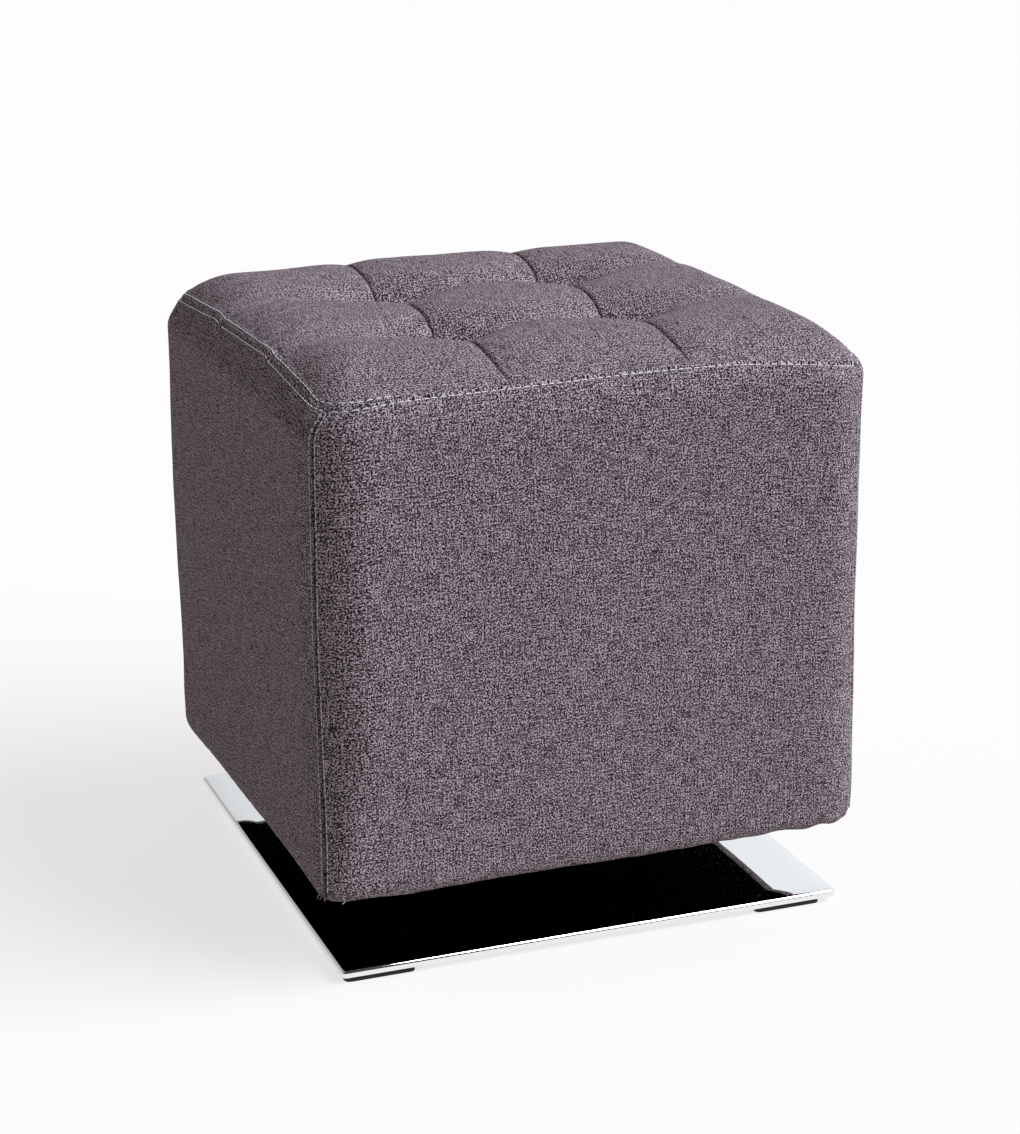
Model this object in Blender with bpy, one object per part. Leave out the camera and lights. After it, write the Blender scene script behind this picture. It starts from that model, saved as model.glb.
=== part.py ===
"""Cube pouf stool: a tufted, cloth-covered cube that turns on a square mirror-finished plate.

Metres, +Z up. The origin lies on the floor under the middle of the stool. The front is -Y, the
left side is -X. The cover is cut in seven pieces: three strips make the top, four panels the
sides. Each is a padded solid that carries its own hem, crown and sewn lines in its points.
"""
import math

import bmesh
import bpy

# ---- driving sizes ----
WIDTH = 0.410              # across the padded faces, both ways
HEIGHT = 0.430             # floor to the crown of the pillows
CROWN_Z = HEIGHT + 0.0001  # level of the top before the hollows are drawn in
CORNER_CENTRE = 0.165      # the vertical corners are arcs about (+-this, +-this)
WALL_INNER = 0.170         # half-width inside the padded walls
SEAM_HALF = 0.196          # half-width of the seam line round the top
TOP_UNDERSIDE_Z = 0.360    # flat underside of the top strips
WALL_LEDGE_Z = 0.398       # the top's edge is upright above this and slants in below it
GAP = 0.0003               # clearance between pieces that touch

# side panels
FACE_HALF_TOP = 0.2032     # half-width of the flat faces at the corners, high up
FACE_HALF_LOW = 0.2042     # and near the hem, where the cloth hangs a little fuller
FACE_BULGE = WIDTH / 2 - FACE_HALF_LOW + 0.00036
SHOULDER_START_Z = 0.385   # the face is upright below this and curves in to the seam above
HEM_INNER_Z = 0.0720       # turned-in edge under the walls
FACE_LOW_Z = 0.065         # the face narrows from here
FACE_RISE = 0.340          # over this height
BULGE_REACH = 1.15         # the bulge is used up a little below the top of the face
BULGE_LIFT = 0.7           # below 1 it is fullest under the middle
BULGE_ROUND = 1.5          # how fast it fades towards the corners
CORNER_SPAN = 0.030        # length along a side that its seam and hem run on round the corner

# sewn lines
SEAM_GROOVE = 0.0012       # how far the seam line itself is drawn in
FELL_RAISE = 0.0005        # the folded allowance stands proud under its stitching
FELL_START = 0.0015        # distance from the seam where the raised band begins
FELL_WIDTH = 0.0055        # and where it ends
FELL_FADE = 0.0075         # and where the cloth is level again

# tufted top
CROWN_RUN = 0.062          # the crown falls to the seam over this distance
CROWN_CORNER_RUN = 0.024   # and over this much more at the corners
CROWN_POWER = 2.4
PILLOW_SEAM_DEPTH = 0.0018
PILLOW_SEAM_REACH = 0.014
TUFT_REACH = 0.048         # the sharp pull round a tuft
TUFT_HOLLOW_DEPTH = 0.0056 # the broad hollow round it
TUFT_HOLLOW_SIGMA = 0.045
VALLEY_MIDDLE_DEPTH = 0.0090
VALLEY_EDGE_DEPTH = 0.0036
VALLEY_FADE = 0.055
VALLEY_SIGMA = 0.017
CORNERING_START = 0.45     # share of the half-width at which the crown starts to run longer
EDGE_SHARE_RUN = 0.020     # valleys and lines die out this near the edge seam

# base
PLATE_HALF = 0.1885
PLATE_BOTTOM_Z = 0.0042
PLATE_TOP_Z = 0.0105
PLATE_CORNER_RADIUS = 0.004
PLATE_EDGE_RADIUS = 0.0024
PAD_HALF = 0.0255
PAD_CORNER_RADIUS = 0.004
PAD_EDGE_RADIUS = 0.0008
BOARD_HALF = WALL_INNER - GAP / 2
BOARD_THICKNESS = 0.006
BOARD_RECESS = 0.0010      # the board lies this far up between the walls
BOARD_CORNER_RADIUS = 0.005
BOARD_EDGE_RADIUS = 0.0005
TURNPLATE_RADIUS = 0.075
TURNPLATE_THICKNESS = 0.006
COLUMN_RADIUS = 0.030
COLUMN_FOOT_RADIUS = 0.055
COLUMN_FOOT_HEIGHT = 0.005
COLUMN_FOOT_BEVEL = 0.0015
COLUMN_FOOT_SLOPE = 0.0010 # the foot's top rises this much to the column

# pull-in points of the tufting: place on the top and depth below the valley they lie in
TUFTS = (
    {"x": -0.068, "y": -0.068, "depth": 0.0120},
    {"x": 0.0630, "y": -0.056, "depth": 0.0125},
    {"x": -0.068, "y": 0.062, "depth": 0.0110},
    {"x": 0.0660, "y": 0.075, "depth": 0.0120},
)

# the two sewn lines of the top run front to back: place of each at the front and back edge
PILLOW_SEAMS = (
    {"x_front": -0.0680, "x_back": -0.0680},
    {"x_front": 0.0610, "x_back": 0.0680},
)

# the soft cross valleys: place at the left and right edge
VALLEYS = (
    {"y_left": -0.0730, "y_right": -0.0460},
    {"y_left": 0.0560, "y_right": 0.0880},
)

# height of the top seam, read along each side from its left end to its right end as seen from
# outside: place along the side, height
SEAM_HEIGHT = {
    "front": ((-0.196, 0.4020), (-0.144, 0.4072), (-0.076, 0.4092), (0.016, 0.4118),
              (0.080, 0.4120), (0.129, 0.4090), (0.196, 0.4012)),
    "right": ((-0.196, 0.4012), (-0.130, 0.4080), (-0.060, 0.4112), (0.020, 0.4120),
              (0.075, 0.4118), (0.140, 0.4070), (0.196, 0.4022)),
    "back": ((-0.196, 0.4022), (-0.135, 0.4078), (-0.060, 0.4105), (0.030, 0.4116),
             (0.085, 0.4110), (0.140, 0.4076), (0.196, 0.4035)),
    "left": ((-0.196, 0.4035), (-0.113, 0.4080), (-0.055, 0.4112), (0.029, 0.4122),
             (0.078, 0.4122), (0.125, 0.4075), (0.196, 0.4020)),
}

# small steps in the side seams where the cross valleys end: place along the side, height
SEAM_KINKS = {
    "left": ((-0.056, -0.0014), (0.072, -0.0014)),
    "right": ((-0.046, 0.0010), (0.088, 0.0010)),
}
KINK_RUN = 0.004
KINK_FADE = 0.035

# lowest line of the hem: place along the side, height
HEM_HEIGHT = {
    "front": ((-0.190, 0.0680), (-0.150, 0.0650), (-0.035, 0.0641), (0.088, 0.0664),
              (0.143, 0.0686), (0.166, 0.0674), (0.190, 0.0690)),
    "right": ((-0.190, 0.0690), (-0.120, 0.0662), (-0.020, 0.0652), (0.070, 0.0660),
              (0.130, 0.0640), (0.190, 0.0655)),
    "back": ((-0.190, 0.0655), (-0.120, 0.0640), (-0.030, 0.0650), (0.060, 0.0638),
             (0.130, 0.0622), (0.190, 0.0615)),
    "left": ((-0.190, 0.0615), (-0.152, 0.0600), (-0.088, 0.0631), (0.000, 0.0648),
             (0.082, 0.0674), (0.190, 0.0680)),
}

# direction of each side: unit vector along it (to the right as seen from outside) and outwards
SIDES = {
    "front": {"along": (1.0, 0.0), "out": (0.0, -1.0)},
    "right": {"along": (0.0, 1.0), "out": (1.0, 0.0)},
    "back": {"along": (-1.0, 0.0), "out": (0.0, 1.0)},
    "left": {"along": (0.0, -1.0), "out": (-1.0, 0.0)},
}

# colours and finishes
CLOTH = {"colour": (0.155, 0.129, 0.152), "roughness": 0.92, "metallic": 0.0}
UNDERSIDE_BLACK = {"colour": (0.012, 0.012, 0.013), "roughness": 0.85, "metallic": 0.0}
PAINTED_BLACK = {"colour": (0.015, 0.015, 0.016), "roughness": 0.45, "metallic": 0.2}
MIRROR_CHROME = {"colour": (0.86, 0.87, 0.88), "roughness": 0.04, "metallic": 1.0}
PAD_BLACK = {"colour": (0.018, 0.018, 0.019), "roughness": 0.8, "metallic": 0.0}

# steps along the corner zones (0 where the arc begins, 1 on the vertical seam)
CORNER_STEPS = (0.22, 0.44, 0.63, 0.796, 0.8535, 0.9618, 1.0)
# distances from a sewn line or valley at which the top has a row of points
SEAM_STEPS = (0.0018, 0.006, 0.013, 0.025, 0.042)
VALLEY_STEPS = (0.005, 0.011, 0.019, 0.030, 0.046)
OUTER_VALLEY_STEPS = VALLEY_STEPS[:4]
MIDDLE_CLEARANCE = 0.004   # no row stands nearer than this to the row half-way between two lines
FRONT_ROWS = (-0.143, -0.119)
BACK_ROWS = (0.125, 0.145)
OUTER_COLUMN = 0.136
# places of the upright columns of a side panel, and how near a kink's own columns they may come
PANEL_COLUMNS = (-0.142, -0.118, -0.094, -0.068, -0.040, -0.014,
                 0.014, 0.040, 0.068, 0.094, 0.118, 0.142)
KINK_CLEARANCE = 0.006
# rows of a side panel: distances down from the seam, then levels on the face
SHOULDER_STEPS = (FELL_START, FELL_WIDTH, FELL_FADE, 0.013, 0.020, 0.027)
FACE_LEVELS = (0.360, 0.320, 0.250, 0.180, 0.120)
# the rounded hem, from the face round to the underside: inset and rise above its lowest line
HEM_SECTION = (
    {"inset": 0.0000, "rise": 0.0150},
    {"inset": 0.0010, "rise": 0.0080},
    {"inset": 0.0036, "rise": 0.0030},
    {"inset": 0.0085, "rise": 0.0002},
    {"inset": 0.0150, "rise": 0.0010},
)

# floor pads: the front two are placed as seen, the hidden back two mirror them
FLOOR_PADS = (
    {"name": "front_left", "x": -0.1595, "y": -0.1600},
    {"name": "front_right", "x": 0.1510, "y": -0.1600},
    {"name": "back_right", "x": 0.1510, "y": 0.1600},
    {"name": "back_left", "x": -0.1595, "y": 0.1600},
)


def clear_scene():
    """Remove whatever objects the file holds."""
    for old in list(bpy.data.objects):
        bpy.data.objects.remove(old)


def make_material(name, finish):
    """One plain surface with the part's own colour, roughness and metallic value."""
    material = bpy.data.materials.new(name)
    material.use_nodes = True
    shader = material.node_tree.nodes["Principled BSDF"]
    shader.inputs["Base Color"].default_value = (*finish["colour"], 1.0)
    shader.inputs["Roughness"].default_value = finish["roughness"]
    shader.inputs["Metallic"].default_value = finish["metallic"]
    material.diffuse_color = (*finish["colour"], 1.0)
    return material


def add_object(name, vertices, faces, material, sharp_degrees=40.0):
    """Make one closed, outward-facing object from points and faces."""
    mesh = bpy.data.meshes.new(name)
    mesh.from_pydata([tuple(float(c) for c in v) for v in vertices], [], faces)
    work = bmesh.new()
    work.from_mesh(mesh)
    bmesh.ops.recalc_face_normals(work, faces=work.faces)
    work.to_mesh(mesh)
    work.free()
    mesh.shade_smooth()
    mesh.set_sharp_from_angle(angle=math.radians(sharp_degrees))
    mesh.materials.append(material)
    piece = bpy.data.objects.new(name, mesh)
    bpy.context.scene.collection.objects.link(piece)
    return piece


def attach(pieces, pivot):
    """Parent the pieces to the empty that they turn or stand with."""
    for piece in pieces:
        piece.parent = pivot


# ---- lines that the top and the sides share ----

def smooth_table(rows, place):
    """Read a short table at a place, with an eased step between its rows."""
    places = [row[0] for row in rows]
    heights = [row[1] for row in rows]
    place = min(max(place, places[0]), places[-1])
    index = max(i for i in range(len(places) - 1) if places[i] <= place)
    span = places[index + 1] - places[index]
    t = (place - places[index]) / span
    slope_in = table_slope(places, heights, index)
    slope_out = table_slope(places, heights, index + 1)
    return ((2 * t**3 - 3 * t**2 + 1) * heights[index] + (t**3 - 2 * t**2 + t) * span * slope_in
            + (3 * t**2 - 2 * t**3) * heights[index + 1] + (t**3 - t**2) * span * slope_out)


def table_slope(places, heights, index):
    """Slope of the curve through a table at one of its rows."""
    low = max(index - 1, 0)
    high = min(index + 1, len(places) - 1)
    return (heights[high] - heights[low]) / (places[high] - places[low])


def seam_height(side, along):
    """Height of the top seam at a place along one side."""
    height = smooth_table(SEAM_HEIGHT[side], along)
    for place, step in SEAM_KINKS.get(side, ()):
        offset = along - place
        height += step * math.tanh(offset / KINK_RUN) * math.exp(-abs(offset) / KINK_FADE)
    return height


def side_of(x, y):
    """Name of the side that a point of the top lies nearest, and its place along that side."""
    if abs(y) >= abs(x):
        return ("front", x) if y < 0 else ("back", -x)
    return ("left", -y) if x < 0 else ("right", y)


def fell_relief(distance):
    """Height of the sewn edge: a groove on the seam, then the raised allowance."""
    if distance < FELL_START:
        return -SEAM_GROOVE + (SEAM_GROOVE + FELL_RAISE) * distance / FELL_START
    if distance < FELL_WIDTH:
        return FELL_RAISE
    if distance < FELL_FADE:
        return FELL_RAISE * (FELL_FADE - distance) / (FELL_FADE - FELL_WIDTH)
    return 0.0


def outline_point(along, fraction, half):
    """Point of a rounded square of the given half-width, as (along, out).

    fraction is 0 on the straight part and runs to 1 on the vertical corner seam.
    """
    if fraction <= 0.0:
        return along, half
    radius = half - CORNER_CENTRE
    sine = fraction / math.sqrt(2.0)
    cosine = math.sqrt(1.0 - sine * sine)
    return math.copysign(CORNER_CENTRE + radius * sine, along), CORNER_CENTRE + radius * cosine


# ---- the top ----

def pillow_seam_x(index, y):
    """Place of one of the top's two sewn lines at a distance from the front."""
    seam = PILLOW_SEAMS[index]
    share = (y + SEAM_HALF) / (2 * SEAM_HALF)
    return seam["x_front"] + (seam["x_back"] - seam["x_front"]) * share


def valley_y(index, x):
    """Place of one of the two cross valleys."""
    valley = VALLEYS[index]
    share = (x + SEAM_HALF) / (2 * SEAM_HALF)
    return valley["y_left"] + (valley["y_right"] - valley["y_left"]) * share


def valley_depth(x):
    """Depth of a cross valley: full between the tufts, fading towards the side seams."""
    spread = max(abs(x) - abs(TUFTS[0]["x"]), 0.0)
    share = math.exp(-(spread / VALLEY_FADE) ** 2)
    return VALLEY_EDGE_DEPTH + (VALLEY_MIDDLE_DEPTH - VALLEY_EDGE_DEPTH) * share


def edge_distance(x, y):
    """Distance of a point of the top from the seam line round it."""
    dx = abs(x) - CORNER_CENTRE
    dy = abs(y) - CORNER_CENTRE
    radius = SEAM_HALF - CORNER_CENTRE
    if dx > 0.0 and dy > 0.0:
        return max(radius - math.hypot(dx, dy), 0.0)
    return max(radius - max(dx, dy), 0.0)


def top_height(x, y):
    """Height of the tufted top at a point inside the seam line."""
    side, along = side_of(x, y)
    edge = edge_distance(x, y)
    boundary = seam_height(side, along)
    diagonal = min(abs(x), abs(y)) / SEAM_HALF
    cornering = max(diagonal - CORNERING_START, 0.0) / (1.0 - CORNERING_START)
    run = CROWN_RUN + CROWN_CORNER_RUN * cornering
    height = CROWN_Z - (CROWN_Z - boundary) * max(0.0, 1.0 - edge / run) ** CROWN_POWER
    # sewn lines, soft valleys and the four pull-in points; all fade out at the edge seam
    share = 1.0 - math.exp(-(edge / EDGE_SHARE_RUN) ** 2)
    for index in range(len(PILLOW_SEAMS)):
        offset = abs(x - pillow_seam_x(index, y))
        height -= share * PILLOW_SEAM_DEPTH * max(0.0, 1.0 - offset / PILLOW_SEAM_REACH) ** 2
    for index in range(len(VALLEYS)):
        offset = y - valley_y(index, x)
        height -= share * valley_depth(x) * math.exp(-(offset / VALLEY_SIGMA) ** 2)
    for tuft in TUFTS:
        offset = math.hypot(x - tuft["x"], y - tuft["y"])
        height -= tuft["depth"] * max(0.0, 1.0 - offset / TUFT_REACH) ** 2
        height -= share * TUFT_HOLLOW_DEPTH * math.exp(-(offset / TUFT_HOLLOW_SIGMA) ** 2)
    return height + fell_relief(edge)


def spread_between(low, high, steps_low, steps_high):
    """Row places between two lines, close together near each line."""
    middle = (low + high) / 2
    places = [low + step for step in steps_low if low + step < middle - MIDDLE_CLEARANCE]
    places += [middle]
    places += [high - step for step in reversed(steps_high) if high - step > middle + MIDDLE_CLEARANCE]
    return places


def zone_rows():
    """Places of the rows of the top from the front to the back, as (place, corner fraction)."""
    lines = [valley["y_left"] / 2 + valley["y_right"] / 2 for valley in VALLEYS]
    rows = [(-CORNER_CENTRE, f) for f in reversed(CORNER_STEPS)]
    rows += [(-CORNER_CENTRE, 0.0)]
    rows += [(y, 0.0) for y in FRONT_ROWS]
    rows += [(lines[0] - step, 0.0) for step in reversed(OUTER_VALLEY_STEPS)]
    rows += [(lines[0], 0.0)]
    rows += [(y, 0.0) for y in spread_between(lines[0], lines[1], VALLEY_STEPS, VALLEY_STEPS)]
    rows += [(lines[1], 0.0)]
    rows += [(lines[1] + step, 0.0) for step in OUTER_VALLEY_STEPS]
    rows += [(y, 0.0) for y in BACK_ROWS]
    rows += [(CORNER_CENTRE, 0.0)]
    rows += [(CORNER_CENTRE, f) for f in CORNER_STEPS]
    return rows


def row_y(place, fraction, half):
    """The y of a row, squeezed into the corner zone of an outline of the given half-width."""
    if fraction <= 0.0:
        return place
    return math.copysign(CORNER_CENTRE + fraction * (half - CORNER_CENTRE), place)


def strip_columns(strip):
    """Columns of one strip of the top: a function of y for each, or a corner fraction."""
    half_gap = GAP / 2
    if strip == "middle":
        columns = [("seam", 0, half_gap)]
        columns += [("seam", 0, half_gap + step) for step in SEAM_STEPS]
        columns += [("mean", 0, 0.0)]
        columns += [("seam", 1, -half_gap - step) for step in reversed(SEAM_STEPS)]
        columns += [("seam", 1, -half_gap)]
        return columns
    index, sign = (0, -1.0) if strip == "left" else (1, 1.0)
    columns = [("seam", index, sign * half_gap)]
    columns += [("seam", index, sign * (half_gap + step)) for step in SEAM_STEPS]
    columns += [("place", sign * OUTER_COLUMN, 0.0)]
    columns += [("place", sign * CORNER_CENTRE, 0.0)]
    columns += [("place", sign * CORNER_CENTRE, f) for f in CORNER_STEPS]
    return columns


def column_x(column, y, half):
    """The x of a column at a row, for an outline of the given half-width."""
    kind, first, second = column
    if kind == "seam":
        return pillow_seam_x(first, y) + second
    if kind == "mean":
        return (pillow_seam_x(0, y) + pillow_seam_x(1, y)) / 2
    if second <= 0.0:
        return first
    return math.copysign(CORNER_CENTRE + second * (half - CORNER_CENTRE), first)


def round_corner(x, y, half):
    """Bend the square grid into the rounded outline, only inside the four corner zones."""
    px = (abs(x) - CORNER_CENTRE) / (half - CORNER_CENTRE)
    py = (abs(y) - CORNER_CENTRE) / (half - CORNER_CENTRE)
    if px <= 0.0 or py <= 0.0:
        return x, y
    bent_x = px * math.sqrt(1.0 - py * py / 2.0)
    bent_y = py * math.sqrt(1.0 - px * px / 2.0)
    radius = half - CORNER_CENTRE
    return (math.copysign(CORNER_CENTRE + radius * bent_x, x),
            math.copysign(CORNER_CENTRE + radius * bent_y, y))


def make_top_strip(strip, material):
    """One strip of the top cover with its padding: tufted above, flat below."""
    rows = zone_rows()
    columns = strip_columns(strip)
    top_half = SEAM_HALF - GAP / 2
    low_half = WALL_INNER - GAP / 2
    vertices = []
    for place, fraction in rows:
        y = row_y(place, fraction, top_half)
        for column in columns:
            x = column_x(column, y, top_half)
            px, py = round_corner(x, y, top_half)
            vertices.append((px, py, top_height(px, py)))
    count = len(columns)
    faces = grid_faces(len(rows), count)
    upper = grid_border(len(rows), count)
    border = list(upper)
    for half, z in ((top_half, WALL_LEDGE_Z), (low_half, TOP_UNDERSIDE_Z)):
        lower = [len(vertices) + step for step in range(len(border))]
        for number in border:
            place, fraction = rows[number // count]
            y = row_y(place, fraction, half)
            x = column_x(columns[number % count], y, half)
            vertices.append((*round_corner(x, y, half), z))
        for step in range(len(border)):
            after = (step + 1) % len(border)
            faces.append((upper[step], upper[after], lower[after], lower[step]))
        upper = lower
    faces.append(tuple(upper))
    return add_object(f"top_cover_{strip}", vertices, faces, material)


def grid_faces(row_count, column_count):
    """Four-sided faces of a grid of points."""
    faces = []
    for row in range(row_count - 1):
        for column in range(column_count - 1):
            corner = row * column_count + column
            faces.append((corner, corner + 1, corner + column_count + 1, corner + column_count))
    return faces


def grid_border(row_count, column_count):
    """Point numbers round the edge of a grid, in order."""
    last = row_count - 1
    border = list(range(column_count))
    border += [row * column_count + column_count - 1 for row in range(1, row_count)]
    border += [last * column_count + column for column in range(column_count - 2, -1, -1)]
    border += [row * column_count for row in range(last - 1, 0, -1)]
    return border


# ---- the side panels ----

def face_half(along, z):
    """Half-width of the outer face: slightly fuller low down and in the middle."""
    share = min(max((z - FACE_LOW_Z) / FACE_RISE, 0.0), 1.0)
    flat = FACE_HALF_LOW + (FACE_HALF_TOP - FACE_HALF_LOW) * share
    across = max(math.cos(math.pi * along / WIDTH), 0.0) ** BULGE_ROUND
    upward = math.sin(math.pi * min(share * BULGE_REACH, 1.0) ** BULGE_LIFT)
    return flat + FACE_BULGE * across * upward


def side_columns(side):
    """Columns of a side panel as (place along, corner fraction), from end to end."""
    places = [-CORNER_CENTRE, *PANEL_COLUMNS, CORNER_CENTRE]
    for place, _ in SEAM_KINKS.get(side, ()):
        near = [place - KINK_RUN, place, place + KINK_RUN]
        places = [p for p in places if min(abs(p - n) for n in near) > KINK_CLEARANCE] + near
    columns = [(-CORNER_CENTRE, f) for f in reversed(CORNER_STEPS)]
    columns += [(place, 0.0) for place in sorted(places)]
    columns += [(CORNER_CENTRE, f) for f in CORNER_STEPS]
    return columns


def shoulder_point(half, seam_z, distance):
    """Point of the shoulder arc at a distance down from the seam: half-width, z and lean.

    The arc leaves the upright face at SHOULDER_START_Z and ends on the seam line.
    """
    depth = half - SEAM_HALF - GAP / 2
    rise = seam_z - SHOULDER_START_Z
    radius = (rise * rise + depth * depth) / (2 * depth)
    turn = math.asin(rise / radius) - distance / radius
    if turn <= 0.0:
        return half, SHOULDER_START_Z + turn * radius, 0.0
    return half - radius * (1.0 - math.cos(turn)), SHOULDER_START_Z + radius * math.sin(turn), turn


def panel_profile(side, along, fraction):
    """Closed section of a side panel at one column, as (along, out, z) points."""
    place = math.copysign(CORNER_CENTRE + fraction * CORNER_SPAN, along) if fraction > 0.0 else along
    seam_z = seam_height(side, place)
    hem_z = smooth_table(HEM_HEIGHT[side], place)
    corner_radius = FACE_HALF_TOP - CORNER_CENTRE
    arc = corner_radius * (math.pi / 4 - math.asin(fraction / math.sqrt(2.0)))
    corner_relief = fell_relief(arc) if fraction > 0.0 else 0.0
    inner_half = WALL_INNER + GAP / 2
    section = [
        (inner_half, HEM_INNER_Z),
        (inner_half, TOP_UNDERSIDE_Z),
        (SEAM_HALF + GAP / 2, WALL_LEDGE_Z),
        (SEAM_HALF + GAP / 2, seam_z - SEAM_GROOVE),
    ]
    # the sewn edge and the shoulder below it
    shoulder = face_half(place, SHOULDER_START_Z)
    for distance in SHOULDER_STEPS:
        half, z, lean = shoulder_point(shoulder, seam_z, distance)
        relief = max(fell_relief(distance), corner_relief) if distance < FELL_FADE else corner_relief
        section.append((half + relief * math.cos(lean), z + relief * math.sin(lean)))
    for z in FACE_LEVELS:
        section.append((face_half(place, z) + corner_relief, z))
    # the hem: rounded under, then drawn flat to the inner edge
    low = face_half(place, hem_z) + corner_relief
    section += [(low - row["inset"], hem_z + row["rise"]) for row in HEM_SECTION]
    shift = GAP / math.sqrt(2.0) if fraction >= 1.0 else 0.0
    points = []
    for half, z in section:
        a, out = outline_point(along, fraction, half)
        points.append((a - math.copysign(shift, along), out, z))
    return points


def make_side_panel(side, material):
    """One side of the cover with its padded wall: shoulder, face, and hem turned under."""
    along_axis = SIDES[side]["along"]
    out_axis = SIDES[side]["out"]
    vertices = []
    columns = side_columns(side)
    for along, fraction in columns:
        for a, out, z in panel_profile(side, along, fraction):
            vertices.append((a * along_axis[0] + out * out_axis[0],
                             a * along_axis[1] + out * out_axis[1], z))
    ring = len(vertices) // len(columns)
    faces = []
    for column in range(len(columns) - 1):
        for step in range(ring):
            after = (step + 1) % ring
            faces.append((column * ring + step, column * ring + after,
                          (column + 1) * ring + after, (column + 1) * ring + step))
    faces.append(tuple(range(ring)))
    last = (len(columns) - 1) * ring
    faces.append(tuple(last + step for step in range(ring)))
    return add_object(f"side_cover_{side}", vertices, faces, material)


# ---- flat and turned pieces ----

def make_rounded_slab(name, half, corner_radius, edge_radius, z_low, z_high, material, steps=5):
    """A square plate with rounded corners and a softly rounded upper edge."""
    levels = [(0.0, z_low)]
    for step in range(4):
        turn = math.pi / 2 * step / 3
        levels.append((edge_radius * (1 - math.cos(turn)), z_high - edge_radius * (1 - math.sin(turn))))
    vertices = []
    for inset, z in levels:
        radius = corner_radius - inset * corner_radius / (corner_radius + edge_radius)
        centre = half - inset - radius
        for quarter in range(4):
            for step in range(steps + 1):
                turn = math.pi / 2 * (quarter + step / steps)
                sign_x = 1.0 if quarter in (0, 3) else -1.0
                sign_y = 1.0 if quarter in (0, 1) else -1.0
                vertices.append((sign_x * centre + radius * math.cos(turn),
                                 sign_y * centre + radius * math.sin(turn), z))
    ring = 4 * (steps + 1)
    return close_rings(name, vertices, ring, len(levels), material)


def make_turned(name, profile, material, segments=40):
    """A round piece turned about the stool's middle axis: radius and height of each ring."""
    vertices = []
    for radius, z in profile:
        for step in range(segments):
            turn = 2 * math.pi * step / segments
            vertices.append((radius * math.cos(turn), radius * math.sin(turn), z))
    return close_rings(name, vertices, segments, len(profile), material)


def close_rings(name, vertices, ring, levels, material):
    """Join stacked rings of points into one closed solid."""
    faces = []
    for level in range(levels - 1):
        for step in range(ring):
            after = (step + 1) % ring
            faces.append((level * ring + step, level * ring + after,
                          (level + 1) * ring + after, (level + 1) * ring + step))
    faces.append(tuple(reversed(range(ring))))
    faces.append(tuple((levels - 1) * ring + step for step in range(ring)))
    return add_object(name, vertices, faces, material, sharp_degrees=50.0)


def make_base_plate(material):
    """The mirror-finished square plate."""
    return make_rounded_slab("base_plate", PLATE_HALF, PLATE_CORNER_RADIUS, PLATE_EDGE_RADIUS,
                             PLATE_BOTTOM_Z, PLATE_TOP_Z, material)


def make_floor_pads(material):
    """Four square pads under the plate's corners."""
    pads = []
    for place in FLOOR_PADS:
        pad = make_rounded_slab(f"floor_pad_{place['name']}", PAD_HALF, PAD_CORNER_RADIUS,
                                PAD_EDGE_RADIUS, 0.0, PLATE_BOTTOM_Z - GAP, material, steps=3)
        pad.location = (place["x"], place["y"], 0.0)
        pads.append(pad)
    return pads


def make_column(material):
    """The fixed column between the plate and the turning plate."""
    foot = PLATE_TOP_Z + GAP
    top = HEM_INNER_Z - TURNPLATE_THICKNESS - GAP
    profile = (
        (COLUMN_FOOT_RADIUS, foot),
        (COLUMN_FOOT_RADIUS, foot + COLUMN_FOOT_HEIGHT - COLUMN_FOOT_BEVEL),
        (COLUMN_FOOT_RADIUS - COLUMN_FOOT_BEVEL, foot + COLUMN_FOOT_HEIGHT),
        (COLUMN_RADIUS, foot + COLUMN_FOOT_HEIGHT + COLUMN_FOOT_SLOPE),
        (COLUMN_RADIUS, top),
    )
    return make_turned("swivel_column", profile, material)


def make_turnplate(material):
    """The round plate that carries the cube and turns on the column."""
    low = HEM_INNER_Z - TURNPLATE_THICKNESS
    high = HEM_INNER_Z + BOARD_RECESS - GAP
    profile = ((TURNPLATE_RADIUS, low), (TURNPLATE_RADIUS, high))
    return make_turned("swivel_turnplate", profile, material)


def make_underside(material):
    """The black board that closes the cube from below, let in between the walls."""
    low = HEM_INNER_Z + BOARD_RECESS
    return make_rounded_slab("underside_board", BOARD_HALF, BOARD_CORNER_RADIUS, BOARD_EDGE_RADIUS,
                             low, low + BOARD_THICKNESS, material, steps=3)


def main():
    """Build the stool."""
    clear_scene()
    cloth = make_material("cover_cloth", CLOTH)
    underside_black = make_material("underside_black", UNDERSIDE_BLACK)
    painted_black = make_material("painted_black", PAINTED_BLACK)
    chrome = make_material("mirror_chrome", MIRROR_CHROME)
    pad_black = make_material("pad_black", PAD_BLACK)

    standing = bpy.data.objects.new("standing_base", None)
    turning = bpy.data.objects.new("turning_seat", None)
    for empty in (standing, turning):
        bpy.context.scene.collection.objects.link(empty)

    seat = [make_top_strip(strip, cloth) for strip in ("left", "middle", "right")]
    seat += [make_side_panel(side, cloth) for side in SIDES]
    seat += [make_underside(underside_black), make_turnplate(painted_black)]
    attach(seat, turning)

    base = [make_base_plate(chrome), make_column(painted_black)]
    base += make_floor_pads(pad_black)
    attach(base, standing)


main()
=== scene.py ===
"""Cube pouf stool: the looks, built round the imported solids.

Metres, +Z up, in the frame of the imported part. The cover is made again from the solids' formulas, with
deeper tufting and a fine net of points, so that seams, puckers and the hem show. The shapes come from
formulas alone, without simulation. Every finish is made of shader nodes.
"""
from __future__ import annotations

import logging
import math
import random
from dataclasses import dataclass, field
from enum import Enum
from typing import Callable

import bmesh
import bpy
from mathutils import Matrix, Vector, noise


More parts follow.
